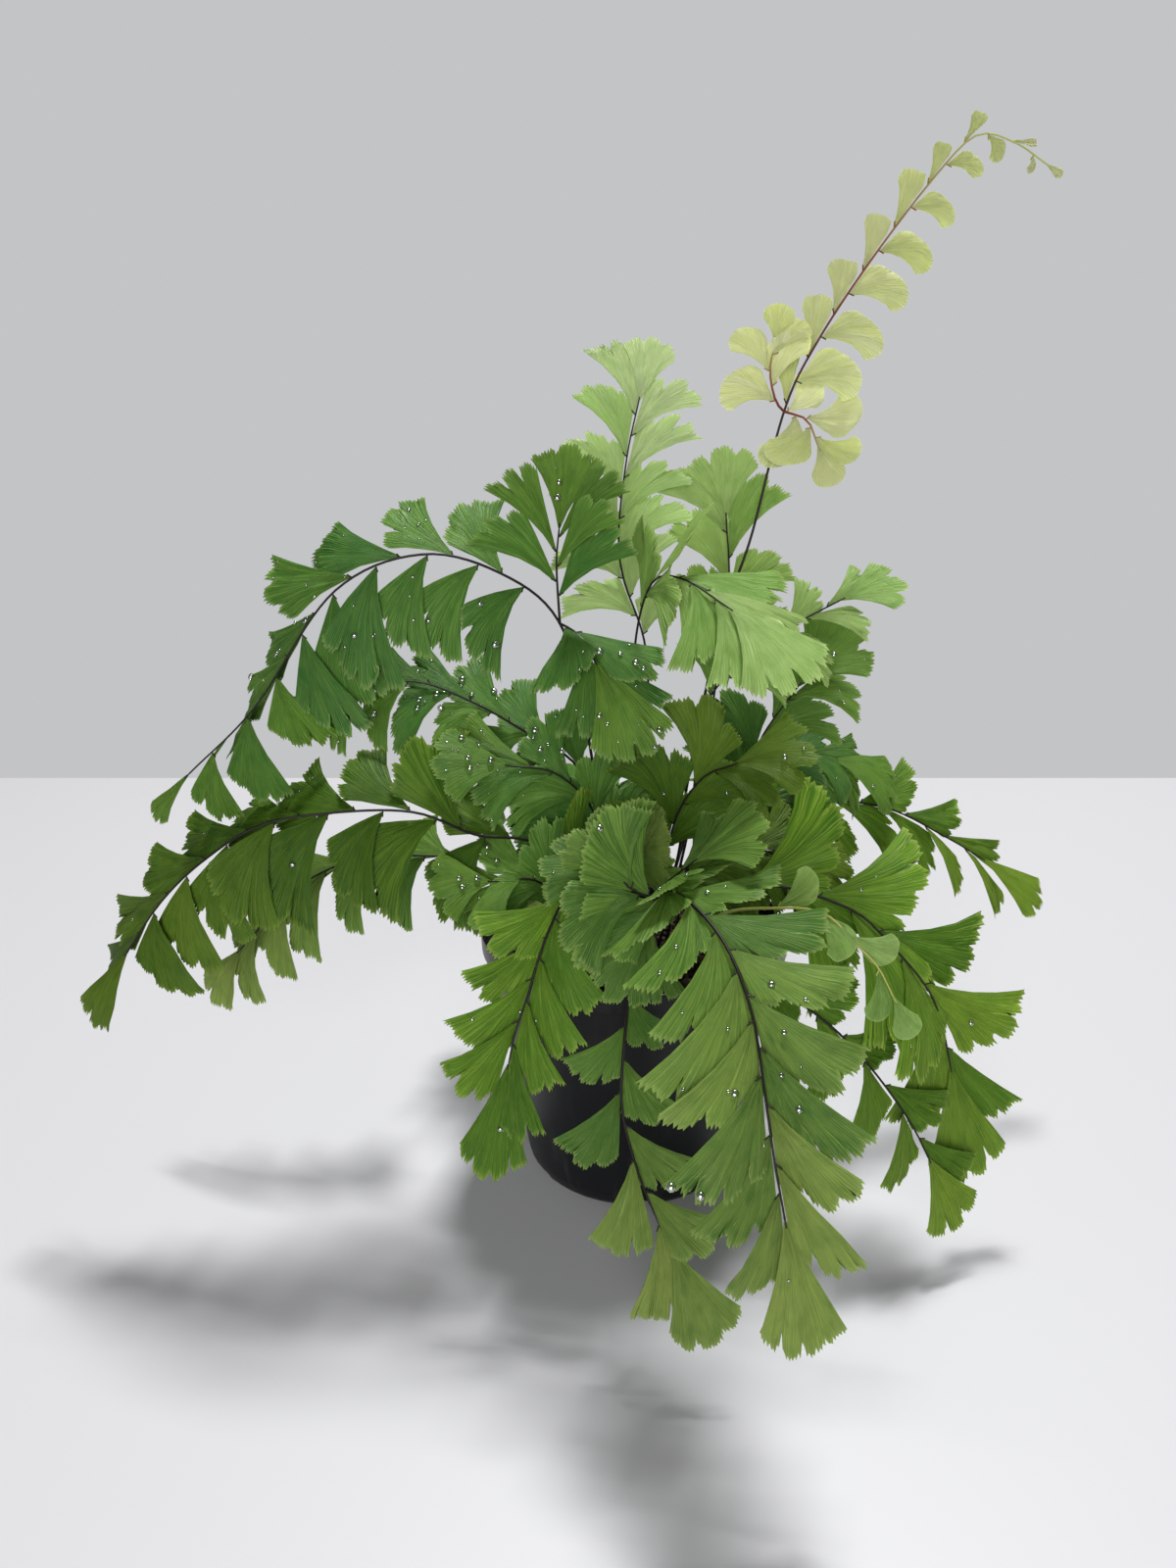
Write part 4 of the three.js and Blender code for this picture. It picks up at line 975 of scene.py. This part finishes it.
which = add(tree, MATH, "ROUND", add(tree, MATH, "MULTIPLY", u, float(COLUMNS)))
which = add(tree, MATH, "MULTIPLY_ADD", leaf["draw"], OWN_NUMBERS["column"], which)
uneven = add(tree, MATH, "MULTIPLY", given["Uneven"], -1.0)
uneven = add(tree, RANDOM, uneven, given["Uneven"], named={"ID": which, "Seed": given["Seed"]})
near_margin = add(tree, MATH, "POWER", v, SHAKEN_NEAR_MARGIN)
turn = add(tree, MATH, "MULTIPLY_ADD", uneven, near_margin, u)
flare = add(tree, RANGE, v, 0.0, 1.0, given["Slim base"], given["Wide margin"])
pivot = add(tree, MATH, "MULTIPLY_ADD", leaf["ends"], -0.5, 1.0)
turn = add(tree, MATH, "SUBTRACT", turn, pivot)
turn = add(tree, MATH, "MULTIPLY_ADD", turn, flare, pivot)
close = add(tree, MATH, "SUBTRACT", 1.0, leaf["ends"])
turn = add(tree, MATH, "MULTIPLY_ADD", close, given["Close to stem"], turn)
phi = add(tree, MATH, "MULTIPLY_ADD", turn, leaf["spread"], leaf["begin"])
cosine = add(tree, MATH, "COSINE", phi)
sine = add(tree, MATH, "SINE", phi)
print("the fan is", COLUMNS, "columns wide")

# %% [markdown]
# Next, how far the blade reaches in that direction. A leaflet at the side of a stem is about a
# quarter of a squarish oval, which is an oval with a power above 2 in its formula. The one at the
# end of a stem is a round fan, a little shorter at its sides than in the middle.

# %% The outline
FAN_SIDES = 0.48

lobed = add(tree, MATH, "GREATER_THAN", leaf["lobes"], 0.5)
breadth = add(tree, MATH, "MULTIPLY", leaf["wide"], add(tree, MIX, lobed, 1.0, given["Breadth"]))
breadth = add(tree, MATH, "ABSOLUTE", add(tree, MATH, "DIVIDE", sine, breadth))
breadth = add(tree, MATH, "POWER", breadth, given["Square corners"])
oval = add(tree, MATH, "POWER", cosine, given["Square corners"])
oval = add(tree, MATH, "ADD", oval, breadth)
oval = add(tree, MATH, "POWER", oval, add(tree, MATH, "DIVIDE", -1.0, given["Square corners"]))
swing = add(tree, MATH, "DIVIDE", phi, leaf["spread"])
swing = add(tree, MATH, "MULTIPLY", swing, swing)
fan = add(tree, MATH, "MULTIPLY_ADD", swing, -FAN_SIDES, 1.0)
outline = add(tree, MIX, leaf["ends"], oval, fan)
outline = add(tree, MATH, "MULTIPLY", outline, add(tree, MIX, lobed, given["Plain size"], 1.0))
print("a fan is", round(FAN_SIDES / 4, 2), "shorter at its sides")

# %% [markdown]
# The margin is cut into lobes. Pingpong turns the share u into a zigzag that touches 0 at every
# cut, so all of them are one formula: a narrow slit of its own depth, and round shoulders beside
# it. The random depth is drawn for the number of the cut, so both its walls get the same one.

# %% The cuts between the lobes
SHOULDER = 0.04
SHOULDER_POWER = 3.0
SLIT_WIDTH = 0.17
UNCUT_END = 0.06

lobe = add(tree, MATH, "MULTIPLY", u, leaf["lobes"])
from_cut = add(tree, MATH, "PINGPONG", lobe, 0.5)
shoulder = add(tree, MATH, "MULTIPLY_ADD", from_cut, -2.0, 1.0)
shoulder = add(tree, MATH, "MULTIPLY", add(tree, MATH, "POWER", shoulder, SHOULDER_POWER), SHOULDER)
slit = add(tree, RANGE, from_cut, 0.0, SLIT_WIDTH, 1.0, 0.0)
which = add(tree, MATH, "MULTIPLY_ADD", leaf["draw"], OWN_NUMBERS["cut"], add(tree, MATH, "ROUND", lobe))
depth = add(tree, RANDOM, given["Shallow cut"], given["Deep cut"],
            named={"ID": which, "Seed": given["Seed"]})
from_end = add(tree, MATH, "PINGPONG", u, 0.5)
depth = add(tree, MATH, "MULTIPLY", depth, add(tree, MATH, "GREATER_THAN", from_end, UNCUT_END))
cut = add(tree, MATH, "MULTIPLY_ADD", slit, depth, shoulder)
print("a shoulder takes", SHOULDER, "of the length")

# %% [markdown]
# The lobes carry teeth, no two alike. The margin also runs unevenly as a whole, which is one slow
# noise, and its first corner sticks out as a small horn. A plain leaflet has round corners
# instead, and neither cuts nor teeth. Everything counts most at the margin and hardly at the base.

# %% The teeth and the reach
SMALLEST_TOOTH = 0.3
RAGGED_SCALE = 5.0
RAGGED_MEAN = 0.4
HORN_WIDTH = 0.12
ROUND_CORNER = 0.2
PLAIN_SHORTER = 0.06
CUT_NEAR_MARGIN = 3.0

tooth = add(tree, MATH, "MULTIPLY", u, given["Teeth"])
which = add(tree, MATH, "MULTIPLY_ADD", leaf["draw"], OWN_NUMBERS["tooth"], add(tree, MATH, "FLOOR", tooth))
height = add(tree, RANDOM, SMALLEST_TOOTH, 1.0, named={"ID": which, "Seed": given["Seed"]})
for factor in (given["Tooth"], 2.0):
    height = add(tree, MATH, "MULTIPLY", height, factor)
cut = add(tree, MATH, "MULTIPLY_ADD", add(tree, MATH, "PINGPONG", tooth, 0.5), height, cut)
spot = add(tree, MATH, "MULTIPLY", leaf["draw"], OWN_NUMBERS["margin"])
spot = add(tree, "ShaderNodeCombineXYZ", u, 0.0, spot)
ragged = add(tree, NOISE, spot, named={"Scale": RAGGED_SCALE, "Detail": 1.0})
ragged = add(tree, MATH, "SUBTRACT", ragged, RAGGED_MEAN)
cut = add(tree, MATH, "MULTIPLY_ADD", ragged, given["Ragged"], cut)
horn = add(tree, MATH, "MULTIPLY", add(tree, RANGE, u, 0.0, HORN_WIDTH, 1.0, 0.0), given["Horn"])
cut = add(tree, MATH, "SUBTRACT", cut, horn)
corner = add(tree, MATH, "POWER", add(tree, RANGE, from_end, 0.0, ROUND_CORNER, 1.0, 0.0), 2.0)
corner = add(tree, MATH, "MULTIPLY_ADD", corner, ROUND_CORNER, PLAIN_SHORTER)
near_margin = add(tree, MATH, "POWER", v, CUT_NEAR_MARGIN)
cut = add(tree, MATH, "MULTIPLY", near_margin, add(tree, MIX, lobed, corner, cut))
reach = add(tree, MATH, "MULTIPLY", add(tree, MATH, "SUBTRACT", v, cut), outline)
print("a leaflet has", COLUMNS // 2, "teeth")

# %% [markdown]
# A thin blade bends under its own weight. So a vertex doesn't go straight out but along an arc of
# a circle that starts in its heading and bends towards the ground: the chord of that arc is its
# length times the sine of half its angle over that half angle.

# %% The arc along which the blade droops
along = add(tree, VECTOR, "SCALE", leaf["out"], cosine)
aside = add(tree, VECTOR, "SCALE", leaf["across"], sine)
heading = add(tree, VECTOR, "ADD", along, aside)
steep = add(tree, VECTOR, "DOT_PRODUCT", heading, tuple(DOWN))
fall = add(tree, VECTOR, "SUBTRACT", tuple(DOWN), add(tree, VECTOR, "SCALE", heading, steep))
half = add(tree, VECTOR, "LENGTH", fall)
for factor in (leaf["droop"], reach):
    half = add(tree, MATH, "MULTIPLY", half, factor)
half = add(tree, MATH, "MULTIPLY_ADD", half, 0.5, 1e-5)
bent = add(tree, MATH, "SINE", half)
chord = add(tree, MATH, "DIVIDE", bent, half)
for factor in (reach, leaf["length"]):
    chord = add(tree, MATH, "MULTIPLY", chord, factor)
ahead = add(tree, MATH, "MULTIPLY", add(tree, MATH, "COSINE", half), chord)
down = add(tree, MATH, "MULTIPLY", bent, chord)
place = add(tree, VECTOR, "ADD", leaf["heart"], add(tree, VECTOR, "SCALE", heading, ahead))
down = add(tree, VECTOR, "SCALE", add(tree, VECTOR, "NORMALIZE", fall), down)
place = add(tree, VECTOR, "ADD", place, down)
print("so far the tree has", len(tree.nodes), "nodes")

# %% [markdown]
# At its base the blade is drawn back into a narrow neck that meets the stem, and further out it
# ripples out of its plane, as one slow noise of its own for each leaflet.

# %% The neck and the ripple
NECK_ENDS = 0.3
RIPPLE_SCALE = 2.6

back = add(tree, MATH, "MULTIPLY", add(tree, MATH, "SUBTRACT", 1.0, v), given["Drawn back"])
place = add(tree, VECTOR, "SUBTRACT", place, add(tree, VECTOR, "SCALE", leaf["out"], back))
neck = add(tree, RANGE, v, 0.0, NECK_ENDS, 1.0, 0.0)
for factor in (add(tree, MATH, "SUBTRACT", u, 0.5), given["Neck width"]):
    neck = add(tree, MATH, "MULTIPLY", neck, factor)
place = add(tree, VECTOR, "ADD", add(tree, VECTOR, "SCALE", leaf["across"], neck), place)
spot = add(tree, MATH, "MULTIPLY", leaf["draw"], OWN_NUMBERS["ripple"])
spot = add(tree, "ShaderNodeCombineXYZ", u, v, spot)
ripple = add(tree, NOISE, spot, named={"Scale": RIPPLE_SCALE, "Detail": 1.0})
ripple = add(tree, MATH, "SUBTRACT", ripple, 0.5)
for factor in (v, leaf["length"], given["Ripple"], 2.0):
    ripple = add(tree, MATH, "MULTIPLY", ripple, factor)
up = add(tree, VECTOR, "CROSS_PRODUCT", leaf["out"], leaf["across"])
place = add(tree, VECTOR, "ADD", place, add(tree, VECTOR, "SCALE", up, ripple))
blades = add(tree, MOVE, blades, None, place)
print("so far the tree has", len(tree.nodes), "nodes")

# %% [markdown]
# The two sheets of the blank still lie in one place. They move apart along their normals, which
# gives the blade its thickness, and the blade learns which of them looks up.

# %% The thickness
apart = add(tree, MATH, "ABSOLUTE", leaf["side"])
for factor in (given["Thickness"], 0.5):
    apart = add(tree, MATH, "MULTIPLY", apart, factor)
apart = add(tree, VECTOR, "SCALE", add(tree, "GeometryNodeInputNormal"), apart)
blades = add(tree, MOVE, blades, None, None, apart)
upper = add(tree, MATH, "MULTIPLY", leaf["side"], leaf["hand"])
upper = add(tree, MATH, "MULTIPLY_ADD", upper, 0.5, 0.5)
blades = add(tree, "GeometryNodeStoreNamedAttribute", blades, None, "upper", upper)
print("so far the tree has", len(tree.nodes), "nodes")

# %% [markdown]
# Drops of water stand on the sheets that look up. They are flattened balls, sunk into the blade by
# less than its thickness, and most of them are small, as a random share raised to a power is. Then
# stems, blades and drops are joined, made real and given their materials.

# %% The drops and the whole frond
LEVEL_ENOUGH = 0.15
UPPER_SIDE = 0.8
BALL_RAISED = 0.35
BALL_FLAT = 0.62
MOSTLY_SMALL = 2.5

height = add(tree, "ShaderNodeSeparateXYZ", add(tree, "GeometryNodeInputNormal")).node.outputs["Z"]
level = add(tree, MATH, "MULTIPLY", add(tree, MATH, "GREATER_THAN", height, LEVEL_ENOUGH), upper)
level = add(tree, MATH, "GREATER_THAN", level, UPPER_SIDE)
spots = add(tree, "GeometryNodeDistributePointsOnFaces", blades, level,
            named={"Density": given["Drops per square metre"], "Seed": given["Seed"]})
ball = add(tree, "GeometryNodeMeshUVSphere", 10, 6, 1.0)
ball = add(tree, "GeometryNodeTransform", ball,
           named={"Translation": (0, 0, BALL_RAISED), "Scale": (1, 1, BALL_FLAT)})
size = add(tree, RANDOM, 0.0, 1.0, named={"Seed": given["Seed"]})
size = add(tree, MATH, "POWER", size, MOSTLY_SMALL)
size = add(tree, RANGE, size, 0.0, 1.0, given["Smallest drop"], given["Largest drop"])
drops = add(tree, "GeometryNodeInstanceOnPoints", spots, None, ball, None, None,
            spots.node.outputs["Rotation"], size)
drops = add(tree, "GeometryNodeStoreNamedAttribute", drops, None, "is_drop", 1.0, domain="INSTANCE")

whole = add(tree, "GeometryNodeJoinGeometry")
for branch in (stems, blades, drops):
    tree.links.new(branch, whole.node.inputs[0])
whole = add(tree, "GeometryNodeRealizeInstances", whole)
whole = add(tree, "GeometryNodeSetShadeSmooth", whole)
for part, finish in ((None, "Stem"), (leaf["is_leaf"], "Leaf"), (add(tree, NAMED, "is_drop"), "Water")):
    whole = add(tree, "GeometryNodeSetMaterial", whole, part, given[finish])
add(tree, "NodeGroupOutput", whole)
print("the tree has", len(tree.nodes), "nodes")

# %% [markdown]
# Now every frond is grown in its place. The ripe ones are black to their tips. The youngest frond
# is black up to its side sprays and green at its tip, and the small shoot is green all along. A
# frond has no other rule of its own, so one loop grows them all.

# %% The grown fronds
def ripe(share):
    return 0


def ripening(share):
    return min(max((share - 0.5) * 2.2, 0), 1)


def new_growth(share):
    return 0.95


def half_ripe(share):
    return 0.45 + 0.4 * share


BARKS = {"frond_young": (ripening, half_ripe), "frond_shoot": (new_growth,),
         "frond_right_tip": (ripe, new_growth)}
DROPS = {"frond_high_left": 9000, "frond_mid_left": 12000, "frond_inner_left": 16000,
         "frond_left_short": 9000, "frond_front_left": 2500, "frond_front": 3000,
         "frond_inner_front": 5000, "frond_inner_right": 5000, "frond_low_left": 1500,
         "frond_right_low": 1500, "frond_mid_right": 2000}
UNREAD = [field for field in (*VECTORS, *NUMBERS, "side", "is_drop") if field != "draw"]

fronds = []
for name, (slot, lines, leaves) in plants.items():
    mesh = skeleton(name, lines, leaves, BARKS.get(name, (ripe,)))
    values = {"Blank": blank, "Leaf": OWN_MATERIALS.get(name, LEAF_MATERIALS[slot]), "Water": water,
              "Stem": stem_material, "Drops per square metre": DROPS.get(name, 0.0)}
    piece = grown("grown_" + name, mesh, frond_tree, values, drop=UNREAD)
    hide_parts(name)
    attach(piece, "root")
    fronds.append(piece)
print(len(fronds), "fronds with", sum(len(piece.data.polygons) for piece in fronds), "faces")

# %% [markdown]
# The pot is a thin shell of black polypropylene from a mould, round and tapered, with an upright
# band round its mouth. A turned shape is one line, the section of its wall from the middle of the
# underside over the rim and back to the middle of the floor, spun round the axis. The line is
# given by its corners and their fillets. Long stretches are divided, so that the smooth shading of
# a fillet doesn't spill over the flat wall beside it.

# %% The turned shell
POT_SIDES = 128
LONGEST = 4
WALL = 1.6
BASE_RADIUS = 42
BASE_RAISED = 1.2
LIP_HEIGHT = 9
LIP_STEP = 2.6
ON_AXIS = 0.01
pot_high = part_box("pot")[1] / MM
rim_radius, pot_height = pot_high.x, pot_high.z
under_lip = pot_height - LIP_HEIGHT


def wall_radius(z):
    return mix(BASE_RADIUS, rim_radius - LIP_STEP, z / pot_height)


def rounded(corners, steps=4):
    line = []
    for i, (r, z, fillet) in enumerate(corners):
        here = Vector((r, z))
        if not fillet:
            line.append(here)
            continue
        before = here + (Vector(corners[i - 1][:2]) - here).normalized() * fillet
        after = here + (Vector(corners[i + 1][:2]) - here).normalized() * fillet
        for step in range(steps + 1):
            t = step / steps
            line.append(before.lerp(here, t).lerp(here.lerp(after, t), t))
    fine = [line[0]]
    for a, b in zip(line, line[1:]):
        pieces = max(1, math.ceil((b - a).length / LONGEST))
        fine += [a.lerp(b, (k + 1) / pieces) for k in range(pieces)]
    return fine


def turned(name, line, sides):
    maker = bmesh.new()
    rings = []
    for r, z in line:
        count = sides if r > ON_AXIS else 1
        angles = [TAU * k / sides for k in range(count)]
        points = [(r * math.cos(a) * MM, r * math.sin(a) * MM, z * MM) for a in angles]
        rings.append([maker.verts.new(point) for point in points])
    for low, high in zip(rings, rings[1:]):
        for k in range(sides):
            loop = [ring[i % len(ring)] for ring, i in ((low, k), (low, k + 1), (high, k + 1), (high, k))]
            loop = [vertex for i, vertex in enumerate(loop) if vertex not in loop[:i]]
            maker.faces.new(loop).smooth = True
    mesh = bpy.data.meshes.new(name)
    maker.to_mesh(mesh)
    maker.free()
    return mesh


# Each corner is told by its distance from the axis, its height and its fillet.
pot_line = rounded([
    # The underside, raised a little inside the ring on which the pot stands.
    (0, BASE_RAISED, 0),
    (BASE_RADIUS - 14, BASE_RAISED, 0.6),
    (BASE_RADIUS - 15.5, 0, 0.6),
    (BASE_RADIUS - 0.8, 0, 3.4),
    # The outside of the wall and the band round the mouth.
    (wall_radius(6), 6, 0.5),
    (wall_radius(under_lip), under_lip, 0.5),
    (rim_radius - 0.4, under_lip + 0.5, 0.7),
    (rim_radius, pot_height, 0.75),
    # The inside, down to the floor.
    (rim_radius - WALL, pot_height, 0.75),
    (rim_radius - WALL - 0.5, under_lip + WALL, 1),
    (wall_radius(under_lip) - WALL, under_lip - 0.4, 1),
    (wall_radius(5) - WALL, 4, 2.5),
    (BASE_RADIUS - 10, WALL + BASE_RAISED, 0.5),
    (0, WALL + BASE_RAISED, 0)])
pot = put("nursery_pot", turned("nursery_pot", pot_line, POT_SIDES))
print("the section of the pot has", len(pot_line), "points")

# %% [markdown]
# Six drain slots are cut through the foot, where the wall meets the floor, so that water runs out
# on any shelf. They are cut by a Boolean modifier with six rounded bars, made as one mesh, and the
# result is kept as a plain mesh.

# %% The drain slots
DRAINS = 6
DRAIN = (16, 11, 7)
DRAIN_ROUNDING = 1.2
SHARP_ANGLE = 40

maker = bmesh.new()
for k in range(DRAINS):
    bar = bmesh.ops.create_cube(maker, size=MM)["verts"]
    bmesh.ops.scale(maker, vec=DRAIN, verts=bar)
    edges = {edge for vertex in bar for edge in vertex.link_edges}
    bevel = bmesh.ops.bevel(maker, geom=list(edges), offset=DRAIN_ROUNDING * MM, segments=3,
                            affect="EDGES", profile=0.5)
    bar = [vertex for vertex in bar if vertex.is_valid]
    bar += [vertex for face in bevel["faces"] for vertex in face.verts]
    bar = list(set(bar))
    bmesh.ops.translate(maker, vec=(BASE_RADIUS * MM, 0, 0), verts=bar)
    bmesh.ops.rotate(maker, matrix=Matrix.Rotation((k + 0.5) * TAU / DRAINS, 3, "Z"), verts=bar)
bars_mesh = bpy.data.meshes.new("drain_bars")
maker.to_mesh(bars_mesh)
maker.free()
bars = put("drain_bars", bars_mesh)
cutting = pot.modifiers.new("drains", "BOOLEAN")
cutting.object = bars
cutting.operation = "DIFFERENCE"
cutting.solver = "EXACT"
pot_mesh = keep_result(pot)
pot_mesh.set_sharp_from_angle(angle=math.radians(SHARP_ANGLE))
bpy.data.objects.remove(bars)
print("the pot has", len(pot_mesh.polygons), "faces")

# %% [markdown]
# Black polypropylene straight from the mould is satin, not glossy: the steel of the mould leaves a
# fine even grain. Carbon black gives it a slightly blue, very dark grey. A pot that has stood on a
# bench also has a dry film of dust and lime, densest near the foot, where drops run down and dry.
# The grain is drawn at 0.6 mm, coarser than it is. A pattern reads its place in millimetres, so
# its scale is one over the size of what it draws.

# %% Pot material
PLASTIC_COLOUR = "#0d0e11"
DUST_COLOUR = "#4a4846"
PLASTIC_IOR = 1.49
GRAIN_SIZE = 0.625
GRAIN_DEPTH = 0.06
DUST_CLOUDS = 20
DRIED_RUNS = (0.35, 0.35, 0.03)  # some 3 mm from one to the next, and ten times as long
DUSTY_FOOT = 26
TO_MM = (1 / MM, 1 / MM, 1 / MM)

pot_material, tree = new_material("moulded_black_polypropylene")
place = add(tree, "ShaderNodeTexCoord").node.outputs["Object"]
in_mm = add(tree, VECTOR, "MULTIPLY", place, TO_MM)
grain = add(tree, NOISE, in_mm, named={"Scale": 1 / GRAIN_SIZE, "Detail": 2.0})
runs = add(tree, VECTOR, "MULTIPLY", in_mm, DRIED_RUNS)
runs = add(tree, NOISE, runs, named={"Scale": 1.0, "Detail": 4.0})
cloud = add(tree, NOISE, in_mm, named={"Scale": 1 / DUST_CLOUDS, "Detail": 3.0})
film = add(tree, RANGE, add(tree, MATH, "MULTIPLY", runs, cloud), 0.26, 0.5, 0.0, 0.4)
height = add(tree, "ShaderNodeSeparateXYZ", in_mm).node.outputs["Z"]
near_foot = add(tree, RANGE, height, float(DUSTY_FOOT), 0.0, 0.35, 1.0)
film = add(tree, MATH, "MULTIPLY", film, near_foot)
plastic = add(tree, MIX, film, linear(PLASTIC_COLOUR), linear(DUST_COLOUR), data_type="RGBA")
gloss = add(tree, RANGE, film, 0.0, 0.5, 0.36, 0.7)
relief = add(tree, "ShaderNodeBump", named={"Strength": 0.25, "Distance": GRAIN_DEPTH * MM, "Height": grain})
shell = add(tree, PRINCIPLED, named={"Base Color": plastic, "Roughness": gloss, "IOR": PLASTIC_IOR,
                                     "Specular IOR Level": 0.3, "Normal": relief})
add(tree, OUTPUT, shell)
pot_mesh.materials.clear()
pot_mesh.materials.append(pot_material)
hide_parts("pot")
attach(pot, "root")
print("the pot is", round(2 * rim_radius), "mm across its mouth")

# %% [markdown]
# Potting mix is peat and fine bark, wet and nearly black below, dry and brown on its crumbs. Its
# bed is a turned shape too, with the top pushed up and down by noise at two scales, and a little
# lower at the wall than in the middle, where the plant was set in.

# %% The bed of soil
SOIL_TOP = 88
SOIL_SIDES = 96
SOIL_RINGS = 26
SOIL_DOME = 2.5
SOIL_LUMPS = {"coarse": {"high": 1.5, "wide": 11, "seed": 5}, "fine": {"high": 0.9, "wide": 4, "seed": 9}}
SOIL_GAP = 0.2
FLOOR_TOP = WALL + 1.5

soil_edge = wall_radius(SOIL_TOP) - WALL - SOIL_GAP
soil_line = rounded([(0, FLOOR_TOP, 0), (BASE_RADIUS - 6, FLOOR_TOP, 0),
                     (wall_radius(8) - WALL - 2 * SOIL_GAP, 8, 0), (soil_edge, SOIL_TOP - 1.5, 0)])
soil_line += [Vector((soil_edge * (1 - k / SOIL_RINGS), SOIL_TOP)) for k in range(SOIL_RINGS + 1)][1:]
soil_mesh = turned("potting_mix", soil_line, SOIL_SIDES)
for vertex in soil_mesh.vertices:
    x, y, z = vertex.co / MM
    if z > SOIL_TOP - 1:
        dome = 1 - SOIL_DOME * (math.hypot(x, y) / soil_edge) ** 2
        lumps = sum(lump["high"] * noise.noise((x / lump["wide"], y / lump["wide"], lump["seed"]))
                    for lump in SOIL_LUMPS.values())
        vertex.co.z = (SOIL_TOP + dome + lumps) * MM
print("the bed of soil is", round(2 * soil_edge), "mm across")

# %% [markdown]
# Peat is dull and fibrous, and bark has paler torn faces. Both are rough all over. So the colour
# is one noise as fine as a fibre, and each crumb's own draw makes some of them paler.

# %% Soil material
SOIL_COLOURS = {"wet": "#120d09", "peat": "#33261b", "bark": "#56432f"}
FIBRES_PER_MM = 1.1
SOIL_RELIEF = 0.5

soil_material, tree = new_material("peat_and_bark")
wet, dry, bark = [linear(hex_colour) for hex_colour in SOIL_COLOURS.values()]
place = add(tree, "ShaderNodeTexCoord").node.outputs["Object"]
in_mm = add(tree, VECTOR, "MULTIPLY", place, TO_MM)
draw = add(tree, ATTRIBUTE, attribute_name="draw").node.outputs["Fac"]
fibre = add(tree, NOISE, in_mm, named={"Scale": FIBRES_PER_MM, "Detail": 5.0, "Roughness": 0.7})
peat = add(tree, MIX, fibre, wet, dry, data_type="RGBA")
pale = add(tree, RANGE, draw, 0.55, 1.0, 0.0, 0.8)
peat = add(tree, MIX, pale, peat, bark, data_type="RGBA")
relief = add(tree, "ShaderNodeBump", named={"Strength": 0.9, "Distance": SOIL_RELIEF * MM, "Height": fibre})
earth = add(tree, PRINCIPLED, named={"Base Color": peat, "Roughness": 0.95, "IOR": 1.4, "Normal": relief})
add(tree, OUTPUT, earth)
print("the soil has", len(SOIL_COLOURS), "browns")

# %% [markdown]
# The crumbs are the work of Geometry Nodes: points are strewn over the top at random, each gets a
# small lump with 20 faces, stretched and turned at random, and noise makes every lump a different
# one. All of them draw from one seed, so the same crumbs lie there every time.

# %% The crumbs
CRUMB_SHAPES = ((0.5, 0.5, 0.3), (1.4, 1, 0.8))
ROUGH_PER_METRE = 900.0
THREE_NUMBERS = "FLOAT_VECTOR"

tree, given = new_tree("strew_crumbs", {
    "Crumbs per square metre": ("Float", 210000), "Smallest": ("Float", 0.5 * MM),
    "Largest": ("Float", 1.9 * MM), "Lowest": ("Float", (SOIL_TOP - 4) * MM),
    "Rough by": ("Float", 1.6 * MM), "Soil": ("Material", soil_material), "Seed": ("Int", 11)})
height = add(tree, "ShaderNodeSeparateXYZ", add(tree, "GeometryNodeInputPosition")).node.outputs["Z"]
on_top = add(tree, MATH, "GREATER_THAN", height, given["Lowest"])
spots = add(tree, "GeometryNodeDistributePointsOnFaces", given["Geometry"], on_top,
            named={"Density": given["Crumbs per square metre"], "Seed": given["Seed"]})
seed = {"Seed": given["Seed"]}
rotation = add(tree, RANDOM, (0, 0, 0), (TAU, TAU, TAU), data_type=THREE_NUMBERS, named=seed)
size = add(tree, RANDOM, given["Smallest"], given["Largest"], named=seed)
shape = add(tree, RANDOM, *CRUMB_SHAPES, data_type=THREE_NUMBERS, named=seed)
draw = add(tree, RANDOM, 0.0, 1.0, named=seed)
lump = add(tree, "GeometryNodeMeshIcoSphere", 1.0, 1)
crumbs = add(tree, "GeometryNodeInstanceOnPoints", spots, None, lump, None, None, rotation,
             add(tree, VECTOR, "SCALE", shape, size))
crumbs = add(tree, "GeometryNodeStoreNamedAttribute", crumbs, None, "draw", draw, domain="INSTANCE")
crumbs = add(tree, "GeometryNodeRealizeInstances", crumbs)
rough = add(tree, NOISE, named={"Scale": ROUGH_PER_METRE, "Detail": 1.0}).node.outputs["Color"]
rough = add(tree, VECTOR, "SUBTRACT", rough, (0.5, 0.5, 0.5))
rough = add(tree, VECTOR, "SCALE", rough, given["Rough by"])
crumbs = add(tree, MOVE, crumbs, None, None, rough)
whole = add(tree, "GeometryNodeJoinGeometry")
for branch in (given["Geometry"], crumbs):
    tree.links.new(branch, whole.node.inputs[0])
whole = add(tree, "GeometryNodeRealizeInstances", whole)
whole = add(tree, "GeometryNodeSetMaterial", whole, None, given["Soil"])
add(tree, "NodeGroupOutput", whole)
soil = grown("potting_mix", soil_mesh, tree, {"Soil": soil_material})
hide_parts("soil")
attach(soil, "root")
print("the soil has", len(soil.data.polygons), "faces")
